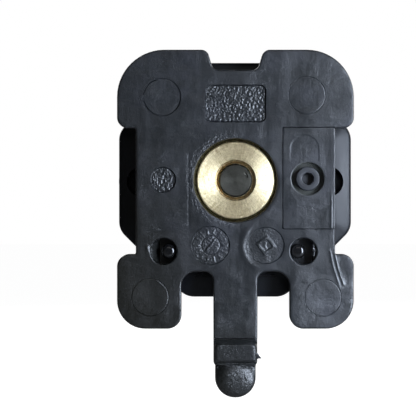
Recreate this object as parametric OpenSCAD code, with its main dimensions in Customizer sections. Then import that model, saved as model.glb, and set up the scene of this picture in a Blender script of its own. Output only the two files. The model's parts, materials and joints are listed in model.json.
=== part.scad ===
// Rotary battery switch, single pole, with a latching slide-in back plate.
// Frame: origin on the spindle axis at the back plane of the latch plate.
// +X right and +Z up, both seen from behind; +Y runs forward, towards the knob.
// Each module draws in a working frame: x right, y up, and depth d measured
// forward from the back plane. face() turns that into the frame above.

/* [Latch plate] */
// Thickness of the latch plate at its ears
plate_t = 3; // [2.6:0.1:3.2]
// Half of the width across the ears
ear_x = 25.2; // [25:0.1:26]
// Height of the top edge of the upper ears above the spindle
ear_top = 27.8; // [27:0.1:29]
// Depth of the bottom edge of the lower ears below the spindle
ear_bottom = 31.6; // [31:0.1:33]
// Half of the width of the waist between the ears
waist_x = 21.2; // [21:0.1:21.6]
// Corner radius of the upper ears
ear_r = 10; // [8:0.5:11]
// Corner radius of the lower ears
lower_ear_r = 6; // [4:0.5:7]
// Clearance hole around the bearing bush
bush_hole_r = 8.85; // [8.6:0.05:9]

/* [Latch tongue] */
// Half of the tongue's width
tongue_x = 4.7; // [4.2:0.1:4.8]
// Distance of the tongue's tip below the spindle
tongue_tip = 46.3; // [44:0.1:48]
// Thickness of the tongue
tongue_t = 2.2; // [1.9:0.1:2.4]

/* [Drum] */
// Radius that rounds the drum's eight corners
drum_r = 26.85; // [26.4:0.05:27]
// Distance from the spindle to the drum's side and bottom flats
flat_x = 25.05; // [25:0.05:25.4]
// Distance from the spindle to the drum's top flat
flat_top = 25.45; // [25:0.05:25.8]
// Distance from the spindle to the drum's four diagonal flats
flat_diag = 25.2; // [24.9:0.05:25.4]
// Depth at which the drum starts, in front of the latch plate's ears
drum_d0 = 6.5; // [6.4:0.1:6.6]
// Depth of the drum's front edge
drum_d1 = 30; // [30:0.5:30]

/* [Spindle and bush] */
// Outer radius of the bearing bush
bush_r = 8.2; // [7.8:0.05:8.3]
// Bore radius of the bearing bush
bush_bore_r = 3.55; // [3.55:0.01:3.58]
// Radius of the spindle's back journal
journal_r = 3.5; // [3.45:0.01:3.5]
// Turn of the spindle shown, off at 0 and on at 90
turn = 0; // [0:90:90]

/* [Terminals] */
// Distance of each terminal stud from the spindle
stud_x = 20.4; // [20.2:0.1:20.6]
// Thread radius of the terminal studs
stud_r = 3; // [3:0.1:3]
// Depth of the terminal studs' free ends
stud_d1 = 37; // [36:0.5:38]

/* [Knob] */
// Radius of the knob's skirt
knob_r = 14; // [12:0.5:14]
// Half of the knob bar's length
knob_bar = 21; // [18:0.5:22]
// Depth of the top of the knob
knob_d1 = 55; // [54:0.5:57]

/* [Hidden] */
$fn = 96;
e = 0.01;
well_x = 14;          // inner wall of the terminal wells
well_y = 7.8;         // half-height of the terminal wells
shelf_d = 18.7;       // floor of the terminal wells
shank_r = 2.68;       // stud where it carries its nuts, at the thread's pitch radius
wheel_r = 10;
cav_r = 12.4;
pins = [-14.2, 13.4];        // across, of each plate pin
pin_holes = [-15.3, 14.5];   // across, of the hole each pin stands in
pin_y = -15.1;
plg_x = 15.4;         // seat plunger
plg_y = 0.35;
scr = [[15.2, 15.2], [-15.2, 15.2], [15.2, -15.2], [-15.2, -15.2]];
marks = [[-15.6, 17.7], [15.2, 18.1], [18.6, -25], [-18.2, -24.9]];
ins = [10, waist_x, -10.45, 11.5];   // plunger cover: x0, x1, y0, y1

// ---- helpers -------------------------------------------------------------
module face() { rotate([90, 0, 0]) children(); }
module slab(d0, d1) { translate([0, 0, -d1]) linear_extrude(height = d1 - d0) children(); }
module rod(r, d0, d1, x = 0, y = 0) { translate([x, y, -d1]) cylinder(r = r, h = d1 - d0); }
// cone: radius ra at depth d0, rb at depth d1
module cone(ra, rb, d0, d1, x = 0, y = 0) {
    translate([x, y, -d1]) cylinder(r1 = rb, r2 = ra, h = d1 - d0);
}
module box2(x0, x1, y0, y1) { translate([x0, y0]) square([x1 - x0, y1 - y0]); }
// rectangle with its own radius at each corner: top left, top right, bottom right, bottom left
module rr(x0, x1, y0, y1, r) {
    difference() {
        box2(x0, x1, y0, y1);
        if (r[0] > 0) difference() { box2(x0 - 1, x0 + r[0], y1 - r[0], y1 + 1); translate([x0 + r[0], y1 - r[0]]) circle(r[0]); }
        if (r[1] > 0) difference() { box2(x1 - r[1], x1 + 1, y1 - r[1], y1 + 1); translate([x1 - r[1], y1 - r[1]]) circle(r[1]); }
        if (r[2] > 0) difference() { box2(x1 - r[2], x1 + 1, y0 - 1, y0 + r[2]); translate([x1 - r[2], y0 + r[2]]) circle(r[2]); }
        if (r[3] > 0) difference() { box2(x0 - 1, x0 + r[3], y0 - 1, y0 + r[3]); translate([x0 + r[3], y0 + r[3]]) circle(r[3]); }
    }
}
module both() { children(); mirror([1, 0]) children(); }
module sector(a0, a1, r) {
    polygon(concat([[0, 0]], [for (i = [0 : 8]) let (a = a0 + (a1 - a0) * i / 8) [r * cos(a), r * sin(a)]]));
}
// round wire along a helix that climbs from depth d0 to d1
module coil(rm, rw, turns, d0, d1, x = 0, y = 0, sides = 8, per = 20) {
    n = round(turns * per);
    function at(i) = let (t = i / n, a = 360 * turns * t) [rm * cos(a), rm * sin(a), -(d0 + rw + (d1 - d0 - 2 * rw) * t)];
    pts = [for (i = [0 : n]) let (a = 360 * turns * i / n, c = at(i))
        for (j = [0 : sides - 1]) let (b = 360 * j / sides)
            [c[0] + rw * cos(b) * cos(a), c[1] + rw * cos(b) * sin(a), c[2] + rw * sin(b)]];
    sidesf = [for (i = [0 : n - 1]) for (j = [0 : sides - 1]) let (k = (j + 1) % sides)
        [i * sides + j, (i + 1) * sides + j, (i + 1) * sides + k, i * sides + k]];
    capa = [[for (j = [0 : sides - 1]) j]];
    capb = [[for (j = [sides - 1 : -1 : 0]) n * sides + j]];
    translate([x, y, 0]) polyhedron(points = pts, faces = concat(sidesf, capa, capb), convexity = 10);
}
module hexnut(r_bore, d0, d1, x) {
    difference() {
        translate([x, 0, -d1]) rotate([0, 0, 30]) cylinder(r = 5.77, h = d1 - d0, $fn = 6);
        rod(r_bore, d0 - 1, d1 + 1, x, 0);
    }
}

// ---- outlines ------------------------------------------------------------
module ear_upper() {
    rr(-ear_x, -5.2, 11.1, ear_top, [ear_r, 1.9, 0, 2.3]);
    polygon([[-5.2, 26], [-4.05, 23.5], [-4.05, 23], [-8, 23], [-8, 26]]);
}
module ear_lower() { rr(-ear_x, -11.5, -ear_bottom, -15.7, [2.6, 0, 3, lower_ear_r]); }
module plate_outline() {
    difference() {
        union() {
            both() { ear_upper(); ear_lower(); }
            box2(-waist_x, waist_x, -20.5, 23.5);
        }
        both() rr(tongue_x, 11.5, -34, -19.4, [2.6, 2.6, 0, 0]);
        translate([-6, -40]) square([12, 19.5]);
    }
}
module tongue_outline() {
    box2(-tongue_x, tongue_x, -38.4, -20.5);
    rr(-4.35, 4.35, -tongue_tip, -38.3, [0, 0, 4.34, 4.34]);
}
module drum_outline(in = 0) {
    intersection() {
        circle(drum_r - in);
        box2(in - flat_x, flat_x - in, in - flat_x, flat_top - in);
        rotate(45) square(2 * (flat_diag - in), center = true);
    }
}
module wells() { both() box2(well_x, 40, -well_y, well_y); }
module cavity() { circle(cav_r); square([20.4, 31.4], center = true); }

// ---- latch plate side ----------------------------------------------------
module latch_plate() color("#34373d") face() {
    difference() {
        union() {
            slab(0, plate_t) plate_outline();
            // neck: a wall under the waist, with tubes for the bush, pins and plunger
            slab(plate_t - e, drum_d0) difference() {
                box2(-waist_x, waist_x, -18.6, 22.5);
                box2(-waist_x + 1.8, waist_x - 1.8, -16.8, 20.7);
            }
            rod(10.6, plate_t - e, drum_d0);
            rod(4.9, plate_t - e, drum_d0, plg_x, plg_y);
            for (s = pin_holes) rod(3.8, plate_t - e, drum_d0, s, pin_y);
            slab(plate_t - e, drum_d0 - 0.5) {
                box2(-20, 20, 13.3, 14.7);
                box2(-0.7, 0.7, 8, 22);
                box2(-0.7, 0.7, -18, -8);
                box2(-20, -8, -0.7, 0.7);
            }
        }
        rod(bush_hole_r, -1, 10);
        // pocket for the plunger cover, and the plunger's chamber
        slab(-1, 2) { box2(ins[0], ins[1], 10, ins[3]); box2(ins[0], ins[1] + 2, ins[2], 11); }
        rod(3.7, -1, 10, plg_x, plg_y);
        for (y = [-8, 9]) rod(0.95, 1, 3.01, 12, y);
        // stepped holes for the pins
        for (i = [0, 1]) {
            rod(2.8, -1, 4.4, pin_holes[i], pin_y);
            rod(1.52, 1, 10, pins[i], pin_y);
        }
        // moulding marks: ejector faces, insert discs and textured recesses
        for (p = marks) rod(4, -1, 0.08, p[0], p[1]);
        rod(4.1, -1, 0.3, -5.3, -13.85);
        rod(3.9, -1, 0.35, 6.5, -13.85);
        rod(2.75, -1, 0.6, -15.4, 0.1);
        slab(-1, 0.5) rr(-6.4, 6.5, 12.4, 20.2, [1.2, 1.2, 1.2, 1.2]);
        // socket of the tongue's flexing root
        translate([-6, -20.5, -tongue_t / 2]) rotate([0, 90, 0]) cylinder(r = tongue_t / 2 + 0.1, h = 12);
        slab(tongue_t / 2, 3.5) box2(-6, 6, -21, -19.8);
    }
}
module latch_tongue() color("#34373d") face() {
    difference() {
        union() {
            slab(0, tongue_t) tongue_outline();
            translate([-tongue_x, -20.5, -tongue_t / 2]) rotate([0, 90, 0]) cylinder(r = tongue_t / 2, h = 2 * tongue_x);
            // rib that stiffens the arm in front of the catch groove
            slab(tongue_t - e, tongue_t + 0.6) box2(-3.2, 3.2, -36.6, -31.4);
        }
        // catch groove for the bracket's bar, and the groove above the thumb pad
        slab(-1, 1) box2(-6, 6, -34.6, -33.7);
        slab(-1, 0.7) box2(-6, 6, -39.4, -38.4);
    }
}
module plunger_cover() color("#3a3d44") face() {
    difference() {
        union() {
            slab(0, 2) box2(ins[0] + 0.05, ins[1], ins[2] + 0.05, ins[3] - 0.05);
            for (y = [-8, 9]) rod(0.93, 1.9, 2.95, 12, y);
        }
        rod(3.55, -1, 1.2, plg_x, plg_y);
        rod(2.6, -1, 3, plg_x, plg_y);
    }
}
module seat_plunger() color("#4a4d57") face() {
    difference() {
        union() {
            cone(2.3, 2.52, 0.06, 0.28, plg_x, plg_y);
            rod(2.52, 0.28, 2.06, plg_x, plg_y);
            rod(3.4, 2.06, 3.1, plg_x, plg_y);
            rod(1.5, 3.1, 4.4, plg_x, plg_y);
        }
        rod(1.25, -1, 2.4, plg_x, plg_y);
    }
}
module plunger_spring() color("#b9bcc0") face()
    coil(2.35, 0.22, 3.5, 3.13, 6.45, plg_x, plg_y, per = 18);
module plate_pins() color("#17181a") face() {
    for (p = pins) {
        cone(0.9, 1.6, 0.35, 1.1, p, pin_y);
        rod(1.6, 1.1, 4.38, p, pin_y);
        rod(1.48, 4.3, 10.2, p, pin_y);
    }
}
module bearing_bush() color("#c9b072") face() {
    difference() {
        union() {
            cone(bush_r - 0.25, bush_r, 0.5, 0.75);
            rod(bush_r, 0.75, 9.4);
            rod(5.5, 9.3, 12);
        }
        rod(bush_bore_r, -1, 13);
        cone(4.4, bush_bore_r, 0.49, 1.25);
    }
}

// ---- drum ----------------------------------------------------------------
module drum_housing() color("#1b1c1f") face() {
    difference() {
        // the back edge slopes away all round
        intersection() {
            slab(drum_d0, drum_d1) drum_outline();
            union() { cone(21.6, 27.6, drum_d0, drum_d0 + 2.8); rod(27.6, drum_d0 + 2.7, drum_d1 + 1); }
        }
        slab(shelf_d, drum_d1 + 1) wells();
        // seat of the bush
        rod(bush_r + 0.02, drum_d0 - 1, 9.42);
        rod(5.52, 9, 13);
        // wheel space, with the groove that stops its tab, then the contact space
        rod(wheel_r + 0.4, 12, 17);
        slab(12, 17) intersection() { sector(-57, 57, 20); circle(12.2); }
        slab(12, 17) square([19, 30], center = true);
        slab(16.2, drum_d1 + 1) cavity();
        // slots that the fixed contacts pass through
        slab(shelf_d, 20.75) square([30, 8.9], center = true);
        // seats of the studs, and the core marks behind them
        for (s = [-1, 1]) {
            rod(3, drum_d0 - 1, 8.9, s * stud_x, 0);
            rod(shank_r + 0.02, 9.88, shelf_d + 1, s * stud_x, 0);
            rod(4.02, 11.98, 14.52, s * stud_x, 0);
        }
        // corner pockets that lighten the moulding, around the screw bosses
        slab(10.5, drum_d1 + 1) difference() {
            drum_outline(2);
            circle(14.4);
            square([60, 19.4], center = true);
            square([23, 34], center = true);
            for (p = scr) translate(p) circle(3.4);
        }
        for (p = scr) rod(1.42, 19, drum_d1 + 1, p[0], p[1]);
        for (p = pins) rod(1.5, drum_d0 - 1, 10.3, p, pin_y);
    }
}
module cover_gasket() color("#101112") face() {
    slab(30, 30.8) difference() {
        drum_outline(0.3);
        wells();
        cavity();
        for (p = scr) translate(p) circle(1.7);
    }
}
module front_cover() color("#1f2023") face() {
    difference() {
        union() {
            slab(30.8, 33.3) difference() { drum_outline(); wells(); }
            rod(8, 30, 30.9);
            rod(9.5, 33.2, 36.6);
            cone(9.5, 9.1, 36.6, 37);
        }
        rod(4.1, 29, 38);
        for (p = scr) rod(1.7, 30, 34, p[0], p[1]);
        // position marks: a ring at the top for off, a bar above each well for on
        slab(32.9, 34) translate([0, 19.6]) difference() { circle(1.9); circle(1.25); }
        slab(32.9, 34) both() box2(16.6, 20.6, 9.9, 10.6);
    }
}
module cover_screws() color("#a9acb0") face() {
    for (p = scr) difference() {
        union() {
            cone(2.8, 2.3, 33.3, 35.1, p[0], p[1]);
            rod(1.4, 20, 33.4, p[0], p[1]);
        }
        slab(34.1, 36) translate(p) { square([3.2, 0.7], center = true); square([0.7, 3.2], center = true); }
    }
}

// ---- contacts and terminals ----------------------------------------------
module contact_base() color("#d8d3c4") face() {
    difference() {
        slab(16.2, 18.7) union() { circle(12.3); square([20.2, 31.2], center = true); }
        rod(6.2, 16, 19);
    }
    // raised track that the bridge's tips slide on between the contacts
    slab(18.6, 21.5) difference() { circle(12.2); circle(7.4); square([30, 9.4], center = true); }
}
module fixed_contact(s) color("#b87348") face() {
    slab(18.7, 20.7) difference() {
        translate([s * 16.05, 0]) square([17.7, 8.8], center = true);
        translate([s * stud_x, 0]) circle(3.05);
    }
}
module fixed_contact_left() fixed_contact(-1);
module fixed_contact_right() fixed_contact(1);
module fixed_contact_tips() color("#d9dbdd") face() {
    for (s = [-1, 1]) { rod(2.2, 20.7, 21.3, s * 9.6, 0); cone(2.2, 1.8, 21.3, 21.5, s * 9.6, 0); }
}
module terminal_stud(s) color("#c2a45c") face() {
    rod(shank_r, 9.9, shelf_d, s * stud_x, 0);
    rod(4, 12, 14.5, s * stud_x, 0);
    // threaded length: pitch radius where it runs through the nuts, outside radius at the free end
    rod(shank_r, shelf_d - e, 31.81, s * stud_x, 0);
    rod(stud_r, 31.8, stud_d1 - 0.6, s * stud_x, 0);
    cone(stud_r, stud_r - 0.6, stud_d1 - 0.6, stud_d1, s * stud_x, 0);
}
module terminal_stud_left() terminal_stud(-1);
module terminal_stud_right() terminal_stud(1);
module jam_nuts() color("#c2a45c") face() for (s = [-1, 1]) hexnut(shank_r, 20.7, 23.9, s * stud_x);
module flat_washers() color("#b4b7ba") face() for (s = [-1, 1]) difference() {
    rod(5.3, 23.9, 25.1, s * stud_x, 0);
    rod(3.2, 23, 26, s * stud_x, 0);
}
module spring_washers() color("#a4a7aa") face() for (s = [-1, 1]) difference() {
    rod(5, 25.1, 26.7, s * stud_x, 0);
    rod(3.15, 25, 27, s * stud_x, 0);
    slab(25, 27) translate([s * stud_x, 4]) rotate(20) square([0.7, 4], center = true);
}
module terminal_nuts() color("#c2a45c") face() for (s = [-1, 1]) hexnut(shank_r, 26.7, 31.7, s * stud_x);

// ---- rotor ---------------------------------------------------------------
module turned() { rotate([0, 0, turn]) children(); }
module spindle() color("#454640") face() turned() {
    difference() {
        union() {
            cone(journal_r - 0.3, journal_r, 0.8, 1.1);
            rod(journal_r, 1.1, 12.3);
            slab(12.25, 28.9) square(8, center = true);
            rod(4, 28.85, 38.5);
            slab(38.4, 46) square(5.4, center = true);
        }
        difference() { rod(5, 34, 35.3); rod(2.85, 33, 36); }
        rod(1.2, 36.5, 47);
    }
}
module detent_wheel() color("#e2ded2") face() turned() {
    difference() {
        slab(12.3, 15.8) difference() {
            union() {
                circle(wheel_r);
                intersection() { difference() { circle(11.9); circle(9); } rotate(-45) sector(-9, 9, 20); }
            }
            for (a = [0 : 90 : 270]) rotate(a) translate([0, wheel_r + 0.15]) rotate(45) square(1.5, center = true);
            square(8.06, center = true);
        }
    }
}
module detent_spring(s) color("#b9bcc0") face() {
    slab(12.5, 15.7) scale([1, s]) {
        polygon([[-9.2, 14.8], [-9.2, 11.4], [-2.6, 11.4], [0, 9.5], [2.6, 11.4], [9.2, 11.4], [9.2, 14.8],
                 [8.75, 14.8], [8.75, 11.85], [2.4, 11.85], [0, 10.1], [-2.4, 11.85], [-8.75, 11.85], [-8.75, 14.8]]);
    }
}
module detent_spring_upper() detent_spring(1);
module detent_spring_lower() detent_spring(-1);
module contact_bridge() color("#b87348") face() turned() {
    slab(22.45, 24.95) difference() {
        union() { circle(7.4); intersection() { circle(12); square([7, 30], center = true); } }
        square(8.1, center = true);
    }
}
module bridge_tips() color("#d9dbdd") face() turned() {
    for (s = [-1, 1]) { cone(1.8, 2.2, 21.65, 21.85, 0, s * 9.6); rod(2.2, 21.85, 22.45, 0, s * 9.6); }
}
module contact_spring() color("#b9bcc0") face() turned() coil(6.75, 0.5, 3, 24.98, 28.92, per = 24);
module thrust_washer() color("#a9acb0") face() turned() {
    slab(28.95, 29.95) difference() { circle(9); circle(4.08); }
}
module spindle_seal() color("#0d0d0e") face() turned() {
    translate([0, 0, -34.65]) rotate_extrude() translate([3.45, 0]) circle(r = 0.58, $fn = 32);
}
module knob() color("#b3231d") face() turned() {
    difference() {
        union() {
            rod(knob_r, 37.6, 41.6);
            cone(knob_r, knob_r - 1.2, 41.6, 43);
            slab(42, knob_d1 - 1) rr(-4.8, 4.8, -knob_bar, knob_bar, [4.7, 4.7, 4.7, 4.7]);
            slab(knob_d1 - 1.1, knob_d1) rr(-4, 4, -knob_bar + 0.8, knob_bar - 0.8, [3.9, 3.9, 3.9, 3.9]);
        }
        rod(4.1, 36, 38.6);
        slab(36, 46.1) square(5.44, center = true);
        rod(1.6, 46, 49);
        rod(3.2, 48, knob_d1 + 1);
    }
}
module knob_screw() color("#a9acb0") face() turned() {
    difference() {
        union() {
            rod(1.18, 38, 48.1);
            cone(2.8, 2.5, 48, 50);
        }
        slab(49, 51) { square([3.2, 0.7], center = true); square([0.7, 3.2], center = true); }
    }
}
module knob_cap() color("#8f1a16") face() turned() {
    rod(3.15, knob_d1 - 3, knob_d1 - 0.35);
    cone(3.15, 2.75, knob_d1 - 0.35, knob_d1);
}

latch_plate();
latch_tongue();
plunger_cover();
seat_plunger();
plunger_spring();
plate_pins();
bearing_bush();
drum_housing();
spindle();
detent_wheel();
detent_spring_upper();
detent_spring_lower();
contact_base();
fixed_contact_left();
fixed_contact_right();
fixed_contact_tips();
terminal_stud_left();
terminal_stud_right();
jam_nuts();
flat_washers();
spring_washers();
terminal_nuts();
contact_bridge();
bridge_tips();
contact_spring();
thrust_washer();
cover_gasket();
front_cover();
cover_screws();
spindle_seal();
knob();
knob_screw();
knob_cap();
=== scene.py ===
import json
import math
import bmesh
import bpy
import numpy as np
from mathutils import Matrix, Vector, noise
from mathutils.geometry import delaunay_2d_cdt


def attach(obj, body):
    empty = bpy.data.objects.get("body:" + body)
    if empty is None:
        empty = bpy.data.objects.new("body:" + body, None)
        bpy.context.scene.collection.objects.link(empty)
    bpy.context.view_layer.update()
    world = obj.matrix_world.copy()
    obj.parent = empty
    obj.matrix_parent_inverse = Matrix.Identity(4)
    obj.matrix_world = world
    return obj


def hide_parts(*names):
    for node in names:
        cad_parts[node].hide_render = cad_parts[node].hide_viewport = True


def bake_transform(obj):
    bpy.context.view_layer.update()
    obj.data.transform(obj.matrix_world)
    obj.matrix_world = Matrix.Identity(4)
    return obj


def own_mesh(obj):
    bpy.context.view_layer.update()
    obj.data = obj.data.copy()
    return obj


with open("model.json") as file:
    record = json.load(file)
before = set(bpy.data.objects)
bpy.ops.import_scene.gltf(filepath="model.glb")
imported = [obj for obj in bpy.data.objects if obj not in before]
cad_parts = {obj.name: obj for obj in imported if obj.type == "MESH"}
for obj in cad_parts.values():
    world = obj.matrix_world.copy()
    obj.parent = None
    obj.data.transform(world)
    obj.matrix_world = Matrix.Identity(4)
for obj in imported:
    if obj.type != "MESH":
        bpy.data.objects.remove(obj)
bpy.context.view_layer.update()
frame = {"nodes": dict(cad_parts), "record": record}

MM = 0.001
rng = np.random.default_rng(7)

# ------------------------------------------------------------------ mesh kit
# Working frame of every helper: x right, y up, d forward from the back plane,
# all in millimetres; P() turns it into the row frame in metres.


def P(x, y, d):
    return (x * MM, d * MM, y * MM)


class Build:
    def __init__(self):
        self.v, self.f = [], []

    def ring(self, pts, d):
        i0 = len(self.v)
        for k, (x, y) in enumerate(pts):
            dd = d[k] if hasattr(d, "__len__") else d
            self.v.append((x, y, dd))
        return list(range(i0, len(self.v)))

    def strip(self, a, b):
        """Quads between two closed rings. With a outside or behind and b inside or in front of it, see callers."""
        n = len(a)
        for i in range(n):
            j = (i + 1) % n
            self.f.append((a[i], a[j], b[j], b[i]))

    def fan(self, ring, flip=False):
        pts = [self.v[i] for i in ring]
        c = len(self.v)
        self.v.append(tuple(np.mean(np.array(pts), 0)))
        n = len(ring)
        for i in range(n):
            j = (i + 1) % n
            self.f.append((ring[j], ring[i], c) if flip else (ring[i], ring[j], c))

    def ngon(self, ring, flip=False):
        self.f.append(tuple(reversed(ring)) if flip else tuple(ring))

    def mesh(self, name):
        me = bpy.data.meshes.new(name)
        me.from_pydata([P(*v) for v in self.v], [], self.f)
        me.validate()
        me.update()
        return me


def new_object(name, me):
    o = bpy.data.objects.new(name, me)
    bpy.context.scene.collection.objects.link(o)
    return o


def outward(me):
    """Consistent outward normals and no doubled points."""
    bm = bmesh.new()
    bm.from_mesh(me)
    bmesh.ops.remove_doubles(bm, verts=bm.verts, dist=1e-7)
    bmesh.ops.recalc_face_normals(bm, faces=bm.faces)
    bm.to_mesh(me)
    bm.free()
    me.update()


def rounded(corners, seg=7.0, line=3.0, must=None):
    """Closed outline through (x, y, r) corners, each rounded by its radius. Lines are cut to at most line mm."""
    n = len(corners)
    out = []
    for i in range(n):
        p0, p1, p2 = (np.array(corners[(i + k) % n][:2], float) for k in (-1, 0, 1))
        r = corners[i][2]
        a, b = (p0 - p1) / np.linalg.norm(p0 - p1), (p2 - p1) / np.linalg.norm(p2 - p1)
        ang = math.acos(max(-1, min(1, float(a @ b))))
        if r <= 0 or ang > math.pi - 1e-3:
            out.append([p1])
            continue
        t = r / math.tan(ang / 2)
        s, e = p1 + a * t, p1 + b * t
        bis = (a + b) / np.linalg.norm(a + b)
        c = p1 + bis * (r / math.sin(ang / 2))
        a0 = math.atan2(*(s - c)[::-1])
        a1 = math.atan2(*(e - c)[::-1])
        da = (a1 - a0 + math.pi) % (2 * math.pi) - math.pi
        k = max(2, int(abs(math.degrees(da)) / seg) + 1)
        out.append([c + r * np.array([math.cos(a0 + da * j / k), math.sin(a0 + da * j / k)]) for j in range(k + 1)])
    pts = []
    for i in range(n):
        pts += out[i]
        s, e = out[i][-1], out[(i + 1) % n][0]
        ln = np.linalg.norm(e - s)
        k = max(1, int(math.ceil(ln / line)))
        ts = [j / k for j in range(1, k)]
        if must:
            for y in must(s, e):
                t = (y - s[1]) / (e[1] - s[1])
                if 0.002 < t < 0.998:
                    ts.append(t)
        ts = sorted(ts)
        last = 0
        for t in ts:
            if (t - last) * ln > 0.02 and (1 - t) * ln > 0.02:
                pts.append(s + (e - s) * t)
                last = t
    clean = [pts[0]]
    for p in pts[1:]:
        if np.linalg.norm(p - clean[-1]) > 0.015:
            clean.append(p)
    if np.linalg.norm(clean[0] - clean[-1]) < 0.015:
        clean.pop()
    return np.array(clean)


def inset(pts, d):
    """The outline moved inward by d, point for point. The outline runs counter-clockwise."""
    p0, p2 = np.roll(pts, 1, 0), np.roll(pts, -1, 0)
    e0, e1 = pts - p0, p2 - pts
    e0 /= np.linalg.norm(e0, axis=1)[:, None]
    e1 /= np.linalg.norm(e1, axis=1)[:, None]
    n0, n1 = np.c_[-e0[:, 1], e0[:, 0]], np.c_[-e1[:, 1], e1[:, 0]]
    m = n0 + n1
    m /= np.maximum(np.linalg.norm(m, axis=1), 1e-6)[:, None]
    c = np.maximum((m * n0).sum(1), 0.4)
    return pts + m * (d / c)[:, None]


def circle(r, x=0.0, y=0.0, n=96, a0=0.0):
    t = a0 + np.arange(n) * 2 * math.pi / n
    return np.c_[x + r * np.cos(t), y + r * np.sin(t)]


def edge_profile(r, k=4):
    """(inset, height left) pairs from the side wall to the flat, for a rounded edge."""
    return [(r * (1 - math.cos(a)), r * (1 - math.sin(a))) for a in (math.pi / 2 * i / k for i in range(k + 1))]


def prism(b, pts, d0, d1, r0=0.2, r1=0.2, k=3):
    """A solid slab with rounded edges at its back (r0) and front (r1)."""
    rings = []
    for ins, h in reversed(edge_profile(r0, k) if r0 > 0 else [(0, 0)]):
        rings.append(b.ring(inset(pts, ins) if ins else pts, d0 + h))
    for ins, h in (edge_profile(r1, k) if r1 > 0 else [(0, 0)]):
        rings.append(b.ring(inset(pts, ins) if ins else pts, d1 - h))
    b.ngon(rings[0])
    for a, c in zip(rings, rings[1:]):
        b.strip(c, a)
    b.ngon(rings[-1], flip=True)
    return rings


def lathe(b, profile, x=0.0, y=0.0, n=96, a0=0.0):
    """A solid of revolution about the depth axis through (x, y). profile is a list of (r, d) from back centre to front centre, or a closed loop off the axis."""
    closed = profile[0][0] > 1e-6
    rings = []
    for r, d in profile:
        if r <= 1e-6:
            b.v.append((x, y, d))
            rings.append([len(b.v) - 1])
        else:
            rings.append(b.ring(circle(r, x, y, n, a0), d))
    pairs = list(zip(rings, rings[1:])) + ([(rings[-1], rings[0])] if closed else [])
    for a, c in pairs:
        if len(a) == 1 and len(c) == 1:
            continue
        if len(a) == 1:
            for i in range(n):
                b.f.append((c[i], c[(i + 1) % n], a[0]))
        elif len(c) == 1:
            for i in range(n):
                b.f.append((a[(i + 1) % n], a[i], c[0]))
        else:
            b.strip(c, a)


def arc(cx, cd, r, a0, a1, k=5):
    return [(cx + r * math.cos(math.radians(a0 + (a1 - a0) * i / k)), cd + r * math.sin(math.radians(a0 + (a1 - a0) * i / k))) for i in range(k + 1)]


def solid(name, make):
    b = Build()
    make(b)
    me = b.mesh(name)
    outward(me)
    return new_object(name, me)


def boolean(o, other, op="DIFFERENCE", keep=False):
    m = o.modifiers.new("b", "BOOLEAN")
    m.operation = op
    m.object = other
    try:
        m.solver = "MANIFOLD"
    except TypeError:
        m.solver = "EXACT"
    dg = bpy.context.evaluated_depsgraph_get()
    me = bpy.data.meshes.new_from_object(o.evaluated_get(dg))
    if len(me.polygons) < 4 or (op == "UNION" and len(me.polygons) < len(o.data.polygons) // 4):
        m.solver = "EXACT"
        dg = bpy.context.evaluated_depsgraph_get()
        me = bpy.data.meshes.new_from_object(o.evaluated_get(dg))
    o.modifiers.clear()
    old = o.data
    o.data = me
    bpy.data.meshes.remove(old)
    if not keep:
        bpy.data.objects.remove(other)
    return o


def smooth(o, angle=35, weighted=True):
    me = o.data
    for p in me.polygons:
        p.use_smooth = True
    me.set_sharp_from_angle(angle=math.radians(angle))
    if weighted:
        w = o.modifiers.new("normals", "WEIGHTED_NORMAL")
        w.keep_sharp = True
        w.weight = 50
    return o


def bevel(o, width, seg=3, angle=32):
    m = o.modifiers.new("bevel", "BEVEL")
    m.width = width * MM
    m.segments = seg
    m.limit_method = "ANGLE"
    m.angle_limit = math.radians(angle)
    m.use_clamp_overlap = True
    m.harden_normals = False
    return o


def finish_piece(o, body, mat, nodes=()):
    o.data.materials.clear()
    o.data.materials.append(mat)
    if body:
        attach(o, body)
    if nodes:
        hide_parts(*nodes)
    return o


# ----------------------------------------------------------------- materials
def material(name):
    m = bpy.data.materials.new(name)
    m.use_nodes = True
    nt = m.node_tree
    nt.nodes.clear()
    out = nt.nodes.new("ShaderNodeOutputMaterial")
    bs = nt.nodes.new("ShaderNodeBsdfPrincipled")
    nt.links.new(bs.outputs[0], out.inputs[0])
    co = nt.nodes.new("ShaderNodeTexCoord")
    return m, nt, bs, co.outputs["Object"]


def N(nt, kind, **kw):
    n = nt.nodes.new(kind)
    for k, v in kw.items():
        if hasattr(n, k):
            setattr(n, k, v)
        else:
            n.inputs[k].default_value = v
    return n


def noise_tex(nt, vec, scale, detail=2.0, rough=0.5, dist=0.0):
    n = nt.nodes.new("ShaderNodeTexNoise")
    n.inputs["Scale"].default_value = scale
    n.inputs["Detail"].default_value = detail
    n.inputs["Roughness"].default_value = rough
    n.inputs["Distortion"].default_value = dist
    if vec is not None:
        nt.links.new(vec, n.inputs["Vector"])
    return n.outputs["Fac"]


def ramp(nt, fac, stops):
    r = nt.nodes.new("ShaderNodeValToRGB")
    e = r.color_ramp.elements
    while len(e) > 1:
        e.remove(e[-1])
    for i, (pos, col) in enumerate(stops):
        col = (col, col, col) if not hasattr(col, "__len__") else col
        el = e[0] if i == 0 else e.new(pos)
        el.position = pos
        el.color = (*col, 1)
    nt.links.new(fac, r.inputs[0])
    return r.outputs[0]


def math_node(nt, op, a, b=None, c=None, clamp=False):
    m = nt.nodes.new("ShaderNodeMath")
    m.operation = op
    m.use_clamp = clamp
    for i, x in enumerate((a, b, c)):
        if x is None:
            continue
        if hasattr(x, "links"):
            nt.links.new(x, m.inputs[i])
        else:
            m.inputs[i].default_value = x
    return m.outputs[0]


def scaled(nt, vec, s):
    m = nt.nodes.new("ShaderNodeMapping")
    m.inputs["Scale"].default_value = s
    nt.links.new(vec, m.inputs["Vector"])
    return m.outputs[0]


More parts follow.
